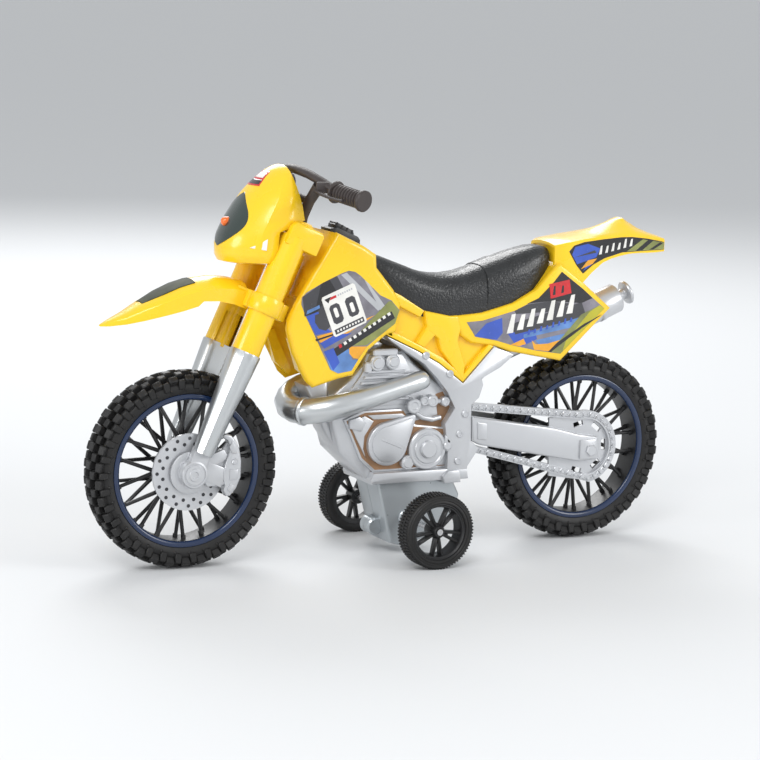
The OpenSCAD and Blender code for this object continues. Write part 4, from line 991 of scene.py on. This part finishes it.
def draw_panel_film(shape, side):
    top = film(shape, PANEL_FILM, PANEL_PRINT, 15.51, "grey")
    strokes(shape, (-55.2, 104.2), (-5.4, 1.4), 7, 9.4, 2.4, 3.4, 15.6, top + 0.03, "white")
    strokes(shape, (-66.6, 103.0), (-3.3, 0.78), 8, 2.8, 0.5, 1.3, 15.6, top + 0.03, "blue")
    strokes(shape, (-79.6, 121.8), (-4.6, 0.9), 2, 4.6, 0.5, 1.5, 15.6, top + 0.03, "black")


def draw_tail_film(shape, side):
    top = film(shape, TAIL_FILM, TAIL_PRINT, 14.02, "black")
    strokes(shape, (-105.4, 140.6), (-3.4, 0.72), 6, 4.4, 0.9, 1.5, 14.1, top + 0.03, "white")


def build_films():
    inks = " ".join("ink_" + key for key in INKS)
    for draw, name, slot, replaced in (
        (draw_shroud_film, "shroud_film", "decal_dark", "shroud_decals"),
        (draw_plate, "number_board", "decal_light", "number_plates"),
        (draw_panel_film, "panel_film", "decal_dark", "panel_decals"),
        (draw_tail_film, "tail_film", "decal_dark", "tail_decals"),
    ):
        mirrored(draw, name, "chassis", slot, inks, {1: [replaced]}, smooth=20)


# ---- seat and tail ----------------------------------------------------------

SEAT = [  # station, half width, lower edge, top
    (14.6, 8, 134.5, 143.4), (8, 11, 126, 141.4), (2, 12.2, 120, 139.2), (-4, 13, 116, 137),
    (-10, 13.4, 113.6, 134.7), (-16, 13.7, 112.4, 133), (-22, 13.8, 111.6, 132.1), (-28, 13.9, 111, 131.9),
    (-36, 13.9, 111.2, 132.9), (-43, 13.8, 112, 134.9), (-50, 13.7, 113.6, 137.2), (-57, 13.5, 116, 139.7),
    (-63, 13.1, 119, 141.7), (-69, 12.4, 122, 143.2), (-74, 11.4, 126.4, 144.4), (-78.5, 9.8, 131, 144.6),
    (-81.5, 8, 134.6, 143.8),
]


def seat_ring(x, w, low, top, swell=0.0):
    """A section of the seat with rounded shoulders, w to each side."""
    h = top - low
    ring = []
    for i in range(25):
        a = math.radians(-12 + 204 * i / 24)
        y = (w + swell) * math.copysign(abs(math.cos(a)) ** 0.62, math.cos(a))
        z = top + swell - 0.62 * h * (1 - max(0, math.sin(a)) ** 0.85)
        ring.append((x, y, z))
    ring[0] = (x, (w - 0.6), low)
    ring[-1] = (x, -(w - 0.6), low)
    return ring


def build_seat():
    seat = Shape()
    seat.loft([seat_ring(*s) for s in SEAT])
    seat.finish("grained_seat", "chassis", "black_plastic", "seat", ["seat"], smooth=50)
    strap = Shape()
    strap.loft([seat_ring(-45.2, 13.75, 112.6, 135.5, 0.05), seat_ring(-45.4, 13.75, 112.6, 135.6, 0.5),
                seat_ring(-54.2, 13.6, 114.8, 138.7, 0.5), seat_ring(-54.4, 13.6, 114.9, 138.8, 0.05)])
    strap.finish("seat_strap", "chassis", "black_plastic", "seat", smooth=30)


TAIL = [  # station, half width, ridge, edge, lower edge
    (-82.4, 11.5, 146.4, 145.2, 135), (-85, 13.4, 147.2, 146, 133), (-88, 14, 147.8, 146.6, 131.6),
    (-92, 14, 148.3, 147.2, 129.6), (-97, 14, 149, 148, 127), (-102, 14, 149.8, 148.6, 132),
    (-108, 14, 151, 149.4, 136.7), (-113, 14, 152.6, 149.8, 138.6),
    (-118, 14, 154.4, 150, 139.8), (-122, 14, 156.2, 150.3, 140.5), (-124.7, 14, 157, 150.4, 140.8),
    (-128, 14, 155, 150, 140.9), (-133, 14, 152.2, 149.4, 140.9), (-138, 13.8, 150.2, 148.6, 141),
    (-143, 13.5, 148.6, 147.6, 141.4),
]


def tail_ring(x, w, ridge, edge, low):
    """A thin section with a ridge down its middle: over the top and back under."""
    wall = 1.5
    mid = (ridge + edge) / 2 + 0.3
    over = [(w, low), (w, edge - 0.7), (w - 0.7, edge), (0.75 * w, edge + 0.3 * (ridge - edge)),
            (0.5 * w, mid), (0.22 * w, ridge - 0.1), (0, ridge)]
    under = [(w - wall, low), (w - wall, edge - wall), (0.5 * w, mid - wall), (0, ridge - wall)]
    left = [(x, y, z) for y, z in over]
    right = [(x, -y, z) for y, z in reversed(over[:-1])]
    back = [(x, -y, z) for y, z in under] + [(x, y, z) for y, z in reversed(under[:-1])]
    return left + right + back


def build_tail():
    tail = Shape()
    tail.loft([tail_ring(*s) for s in TAIL])
    tail.block((-87, 0, 139.5), (7, 23, 12.5), edge=0.5)
    tail.block((-93.5, 0, 141), (5, 26.4, 6), edge=0.5)
    tail.finish("tail_mudguard", "chassis", "yellow_plastic", "yellow", ["rear_fender"], smooth=32)


# ---- exhaust ----------------------------------------------------------------

def build_exhaust():
    header = Shape()
    header.sweep([((-13.5, 15.2, 84.6), 1.6), ((-13, 15.2, 84.4), 3.4), ((-11.6, 15.4, 84), 4.3),
                  ((-8, 15.8, 83.2), 4.7),
                  ((-2, 16.2, 81.8), 4.7), ((6, 16.6, 79.8), 4.8), ((14, 16.8, 77.8), 5.0),
                  ((22, 16.8, 75.8), 5.3),
                  ((30, 16.4, 74), 5.6), ((37, 15.2, 72.4), 5.9), ((42.5, 12.6, 71.2), 6.1),
                  ((46.6, 8.6, 70.5), 6.2),
                  ((49, 3.6, 70.6), 6.2), ((49.8, -1.4, 71.4), 6.1), ((48.8, -5.8, 73), 5.9),
                  ((46.4, -9, 75), 5.6),
                  ((43, -11, 77.4), 5.2), ((38.6, -12, 79.8), 4.6), ((34, -12.4, 81.4), 4.2),
                  ((33, -12.4, 81.8), 2.5)],
                 steps=28)
    header.turned([(6.35, -1.2), (6.7, -0.8), (6.7, 0.8), (6.35, 1.2), (5.6, 1.2), (5.6, -1.2)],
                  (46.7, 8.4, 70.5),
                  axis=(0.5, -0.86, 0), steps=36)
    header.finish("header_pipe", "chassis", "bright_silver", "bright", ["exhaust_header"], smooth=60)
    can = Shape()
    start, end = Vector((-56, 5.4, 91.5)), Vector((-121, 6.6, 118.5))
    way = (end - start).normalized()
    can.sweep([((-30, 5, 69), 3.2), ((-38, 5, 76), 3.2), ((-46, 5.1, 83.4), 3.3), ((-51, 5.2, 87.8), 3.4),
               (start, 3.5), (start + 12 * way, 3.8), (start + 18 * way, 4.2), (start + 24 * way, 5.2),
               (start + 31 * way, 6.4), (start + 38 * way, 7.0), (end - 10 * way, 7.2),
               (end - 0.8 * way, 7.2), (end, 6.6)], steps=32)
    can.turned([(0, -1), (2.7, -1), (2.7, 4.6), (3.4, 5.0), (5.6, 5.2), (5.9, 5.7), (5.9, 6.4), (5.4, 6.9),
                (3.6, 7.0), (3.2, 6.2), (0, 6.2)], end, axis=way, steps=36)
    can.turned([(7.25, -13), (7.55, -12.6), (7.55, -10.4), (7.25, -10)], end, axis=way, steps=36)
    can.finish("rear_silencer", "chassis", "silver_plastic", "silver", ["silencer"], smooth=45)


# ---- engine -----------------------------------------------------------------

ENGINE = [(-36.5, 35), (12, 35), (29, 50.5), (33, 63), (35, 76), (25.5, 84), (18.5, 91), (16.5, 97),
          (-3, 97.5), (-9, 91), (-28, 76), (-38, 70), (-38.5, 53), (-42, 49.5)]
SPAR = [(-36.5, 35), (-26, 35), (-26, 50), (-24, 62), (-29, 69.5), (-25, 77), (-19, 84), (-12, 91),
        (6, 102.6), (8.8, 105.3), (-8, 97.5), (-20, 91), (-33, 81.2), (-49, 98), (-57, 95.2), (-60, 93.6),
        (-53, 88), (-43, 83), (-44, 80), (-42, 74), (-38, 70.5), (-38.5, 53), (-43, 49.5), (-37, 41)]
DOWN_TUBE = [(28, 50), (35, 60), (41, 72), (45.8, 82.3), (33.6, 85.7), (33, 76), (31, 63)]
CASE = [(12, 40.4), (19, 47), (24, 58), (28, 66), (18, 70), (-2, 70), (-10, 62), (-25.5, 60), (-28, 40.4)]
HEAD = [(24, 71), (27, 77), (20, 86), (17, 91), (15, 96), (-2, 96), (-6, 90), (-9, 82), (-6, 72)]


def drop(centre, r, tip):
    """The outline of a round cover drawn out to a rounded tip."""
    way = math.atan2(tip[1] - centre[1], tip[0] - centre[0])
    turns = [way + math.radians(52) + math.radians(256) * i / 22 for i in range(23)]
    round_end = [(centre[0] + r * math.cos(a), centre[1] + r * math.sin(a)) for a in turns]
    turns = [way + k * math.radians(55) for k in (-1, 0, 1)]
    return round_end + [(tip[0] + 1.5 * math.cos(a), tip[1] + 1.5 * math.sin(a)) for a in turns]


COOLING_FINS = 6


def draw_engine(shape, side):
    """The casing with its frame spar; the covers are on the rider's left only."""
    shape.slab(ENGINE, 0.05, 11, edge=1.6, steps=3)
    shape.slab(DOWN_TUBE, 0.05, 7, edge=2.4, steps=3)
    shape.slab(SPAR, 9.5, 15.4, edge=0.5)
    shape.slab([(-38, 35), (13.6, 35), (14.4, 37), (13, 40.5), (-37, 40.5)], 0.05, 15.5, edge=1.0)
    shape.slab([(-33, 33.8), (-24, 33.8), (-23, 37), (-26, 39.8), (-32, 39.8)], 12, 17, edge=0.8)
    shape.slab(HEAD, 9, 12.2, edge=0.9)
    for i in range(COOLING_FINS):
        low, high = 74.6 + 2.6 * i, 75.9 + 2.6 * i
        shape.slab([(-5 + i * 0.5, low), (25.5 - 1.7 * i, low), (25 - 1.7 * i, high), (-5 + i * 0.5, high)],
                   10, 14.2, edge=0.3, steps=1)
    for x, z, r in ((4.2, 92.8, 3.6), (12.2, 92.4, 3.9)):
        shape.turned([(0, 15.4), (r - 1.6, 15.4), (r - 1.2, 14.8), (r - 0.5, 14.8), (r, 14.2), (r, 10)],
                     (x, 0, z), steps=28)
    shape.block((8, 12.6, 97.2), (13, 3.6, 3.2), edge=0.6)
    shape.block((16.6, 12.6, 90.4), (4, 3.4, 5), edge=0.6)
    for x, z in ((-12.5, 95.2), (-25.5, 86), (-32, 57), (-34.6, 66.5), (-31.5, 44)):
        shape.turned([(0, 15.8), (0.9, 15.8), (1.0, 16.1), (1.5, 16.1), (1.9, 15.8), (1.9, 15)], (x, 0, z),
                     steps=20)
    for x, z, r, y in ((-7.6, 71.4, 3.6, 15.4), (-13.4, 73.4, 2.5, 14.6), (-17.6, 73.2, 2.9, 15),
                       (-24.6, 72.6, 2.3, 14.6)):
        shape.turned([(0, y - 0.4), (r * 0.45, y - 0.4), (r * 0.55, y), (r - 0.5, y), (r, y - 0.5), (r, 10)],
                     (x, 0, z), steps=24)
    shape.block((-14.5, 12.4, 72.8), (16, 3, 2), edge=0.5)
    shape.sweep([((-9, 12, 68), 1.2), ((-13, 13, 65.4), 1.3), ((-18, 13.4, 64.4), 1.3), ((-22.5, 12.6, 65),
                                                                                         1.2)],
                steps=12)
    if side < 0:
        return
    shape.slab(CASE, 9.5, 12.5, edge=0.7)
    shape.slab([(19.5, 60.5), (25.6, 62), (25.8, 66.2), (20.4, 67.6), (16.8, 64.6)], 12, 14.4, edge=0.7)
    shape.slab(drop((5.5, 54), 10.4, (-7.4, 66)), 12, 15.1, edge=0.8, steps=3)
    shape.slab(drop((5.5, 54), 8.6, (-5.6, 64.2)), 14.6, 15.7, edge=0.5)
    shape.slab([(-1, 51.6), (9.6, 56), (9.2, 57.2), (-1.6, 52.8)], 15.2, 16.0, edge=0.2, steps=1)
    shape.turned([(0, 16.9), (3.6, 16.9), (4.2, 16.5), (4.4, 15.5), (6.6, 15.4), (7.0, 14.8), (7.6, 14.8),
                  (8.0, 15.2), (9.2, 15.2), (9.8, 14.6), (9.8, 12)], (-15.5, 0, 50.5), steps=56)
    shape.turned([(0, 15.2), (2.2, 15.2), (2.6, 14.7), (3.2, 14.7), (3.4, 14.2), (3.4, 12)],
                 (-5.2, 0, 44.6), steps=24)
    shape.slab([(-24.4, 57), (-27.4, 54), (-28, 50), (-25.6, 48.6), (-24.2, 51), (-24.2, 55)],
               12, 15.4, edge=0.5)
    shape.turned([(0, 16.2), (1.6, 16.2), (2, 15.8), (2, 12)], (-25.5, 0, 51.5), steps=18)


# Brown plates that show only as narrow gaps round the covers, as painted shade in the recesses there, each
# with its inner and outer side.
RECESS_SHADE_PLATES = [
    ([(11, 41.6), (18, 47.6), (23, 58), (26.6, 65.4), (17, 69), (-3, 69), (-9, 61.2), (-25.2, 59.2),
      (-27, 41.6)],
     12.4, 12.56),
    ([(-26, 40.6), (-24.2, 61.8), (-28.6, 69.4), (-24.4, 77), (-20.6, 76), (-22, 66), (-10, 63.6),
      (-10.4, 60)],
     11.0, 11.12),
    ([(-36, 40.5), (12.4, 40.5), (13.6, 42.6), (-26, 42.2)], 11.0, 11.2),
]


def build_engine():
    mirrored(draw_engine, "engine_casing", "chassis", "silver_plastic", "silver",
             {1: ["engine_left"], -1: ["engine_right"]}, smooth=32)
    # These plates are painted shade, tinted brown, in the gaps round the covers.
    recess_shade = Shape()
    for outline, y0, y1 in RECESS_SHADE_PLATES:
        recess_shade.slab(outline, y0, y1)
    recess_shade.finish("engine_recess_painted_shade", "chassis", "silver_plastic", "painted_recess_shade", smooth=20)
    plates = Shape()
    plates.slab([(16, 47.2), (21.4, 57), (25, 64.2), (17.4, 67.6), (12.6, 64.8), (17.2, 58), (17.6, 52)],
                12.4, 13.2, edge=0.4)
    plates.slab([(-27, 42), (-16, 42), (-23, 45.2), (-27, 50)], 12.4, 13.0, edge=0.3)
    plates.slab([(-2, 67.8), (16, 67.8), (12.6, 65.6), (2, 65.6), (-4, 66.6)], 12.4, 13.2, edge=0.3)
    plates.finish("engine_plates", "chassis", "silver_plastic", "silver", smooth=30)


# ---- swingarm and chain -----------------------------------------------------

ARM = [(-98, 40), (-82, 43.2), (-43.2, 51), (-38.7, 53.2), (-38.2, 65), (-84, 57.3), (-98, 53.5), (-108, 52),
       (-109.5, 46), (-108, 40.5)]

# The chain's run: straight from the top nose to the rear sprocket, round it and back to the low nose.
CHAIN_X, CHAIN_Z = REAR_X + 1.5, 46.5
TOP_NOSE, LOW_NOSE = Vector((-38.8, 69.4)), Vector((-38.8, 49.6))
WRAP_FROM, WRAP_TO = math.radians(80), math.radians(258)
LINK_R, LINK_PITCH = 16.0, 3.9


def draw_arm(shape, side):
    shape.slab(ARM, 12, 16.5, edge=1.0, steps=3)
    shape.slab([(-46, 53.4), (-41, 54.2), (-40.6, 62.4), (-46, 61.6)], 16, 17.2, edge=0.6)
    shape.block((REAR_X + 1.5, 16.8, 46), (9, 1.4, 9.5), edge=0.5, steps=2)
    shape.turned([(0, 18.6), (2.6, 18.6), (3, 18.2), (3, 16)], REAR_AXLE, steps=6)
    if side < 0:
        shape.turned([(1.6, 12), (12, 12), (12, 13.6), (11.5, 14), (1.6, 14)], REAR_AXLE, steps=48)


def draw_gearbox(shape, side):
    shape.slab([(9.3, 40.3), (-31, 40.3), (-31, 35), (-35, 27), (-33.5, 20), (-26, 11), (-12, 5), (-4, 4.2),
                (1, 5.5), (9.3, 35)], 0.12, 12, edge=1.4, steps=3)
    shape.turned([(0, 13.6), (3.4, 13.6), (4, 13), (4, 11)], (DRIVE_X, 0, DRIVE_Z), steps=32)
    shape.turned([(0, 4.6), (3.4, 4.6), (4.2, 3.9), (4.2, 0.12)], (5.4, 0, 12.4), steps=28)


def chain_place(s):
    """Where a link sits, s millimetres along the run, and how it is turned; None past the end."""
    def rim(a):
        return Vector((CHAIN_X + LINK_R * math.cos(a), CHAIN_Z + LINK_R * math.sin(a)))

    top, low = rim(WRAP_FROM), rim(WRAP_TO)
    first, bend, last = (top - TOP_NOSE).length, LINK_R * (WRAP_TO - WRAP_FROM), (LOW_NOSE - low).length
    if s < first:
        p, way = TOP_NOSE.lerp(top, s / first), top - TOP_NOSE
    elif s < first + bend:
        a = WRAP_FROM + (s - first) / LINK_R
        p, way = rim(a), Vector((-math.sin(a), math.cos(a)))
    elif s < first + bend + last:
        p, way = low.lerp(LOW_NOSE, (s - first - bend) / last), LOW_NOSE - low
    else:
        return None
    return p, -math.atan2(way.y, way.x)


LINK = [(-1.9, -0.5), (-1.4, -1.35), (-0.5, -0.95), (0.5, -0.95), (1.4, -1.35), (1.9, -0.5), (1.9, 0.5),
        (1.4, 1.35), (0.5, 0.95), (-0.5, 0.95), (-1.4, 1.35), (-1.9, 0.5)]


def build_arms():
    mirrored(draw_arm, "swing_arm", "chassis", "silver_plastic", "silver",
             {1: ["swingarm_left"], -1: ["swingarm_right"]}, smooth=32)
    mirrored(draw_gearbox, "gearbox_leg", "chassis", "silver_plastic", "leg_silver",
             {1: ["gearbox_left"], -1: ["gearbox_right"]}, smooth=32)
    links = Shape()
    s, outer_link = 1.6, False
    while spot := chain_place(s):
        (x, z), turn = spot
        place = Matrix.Translation((x, 0, z)) @ Matrix.Rotation(turn, 4, "Y")
        plate = links.slab(LINK, 13.4, 14.35 if outer_link else 14.1, edge=0.22, steps=1)
        links.move(place, plate)
        for u in (-1.2, 1.2):
            pin = links.turned([(0, 14.75), (0.4, 14.7), (0.55, 14.4), (0.55, 13.5)], (0, 0, 0), steps=10)
            links.move(place @ Matrix.Translation((u, 0, 0)), pin)
        s += LINK_PITCH
        outer_link = not outer_link
    links.finish("chain_links", "chassis", "silver_plastic", "silver", smooth=35)


CAP_X = 26.5


def build_cap():
    cap, x = Shape(), CAP_X
    cap.slab([(x - 8, 144), (x - 3.5, 147.6), (x + 8, 147.6), (x + 8, 154.6), (x + 4, 155.2), (x - 7, 150.4),
              (x - 8, 149)], -5, 5, edge=0.7, both=True)
    cap.slab([(x - 6, 150), (x + 6, 150), (x + 5, 156.4), (x + 2.6, 156.9), (x - 5, 153.2)],
             -3.6, 3.6, edge=0.9,
             both=True)
    for i in range(4):
        cap.block((x - 4 + 2.6 * i, 0, 152.4 + 1.25 * i), (1.0, 7.6, 2.4),
                  turn=Matrix.Rotation(math.radians(-24), 4, "Y"), edge=0.25)
    cap.finish("tank_cap_button", "sound_button", "black_plastic", "black", ["sound_button"], smooth=30)


set_camera()
set_studio()
FINISHES = make_finishes()
set_floor()
dress_nodes(FINISHES)
build_big_wheels()
build_small_wheels()
build_fork()
build_brake()
build_mask()
build_front_fender()
build_handlebar()
build_body()
build_films()
build_seat()
build_tail()
build_exhaust()
build_engine()
build_arms()
build_cap()
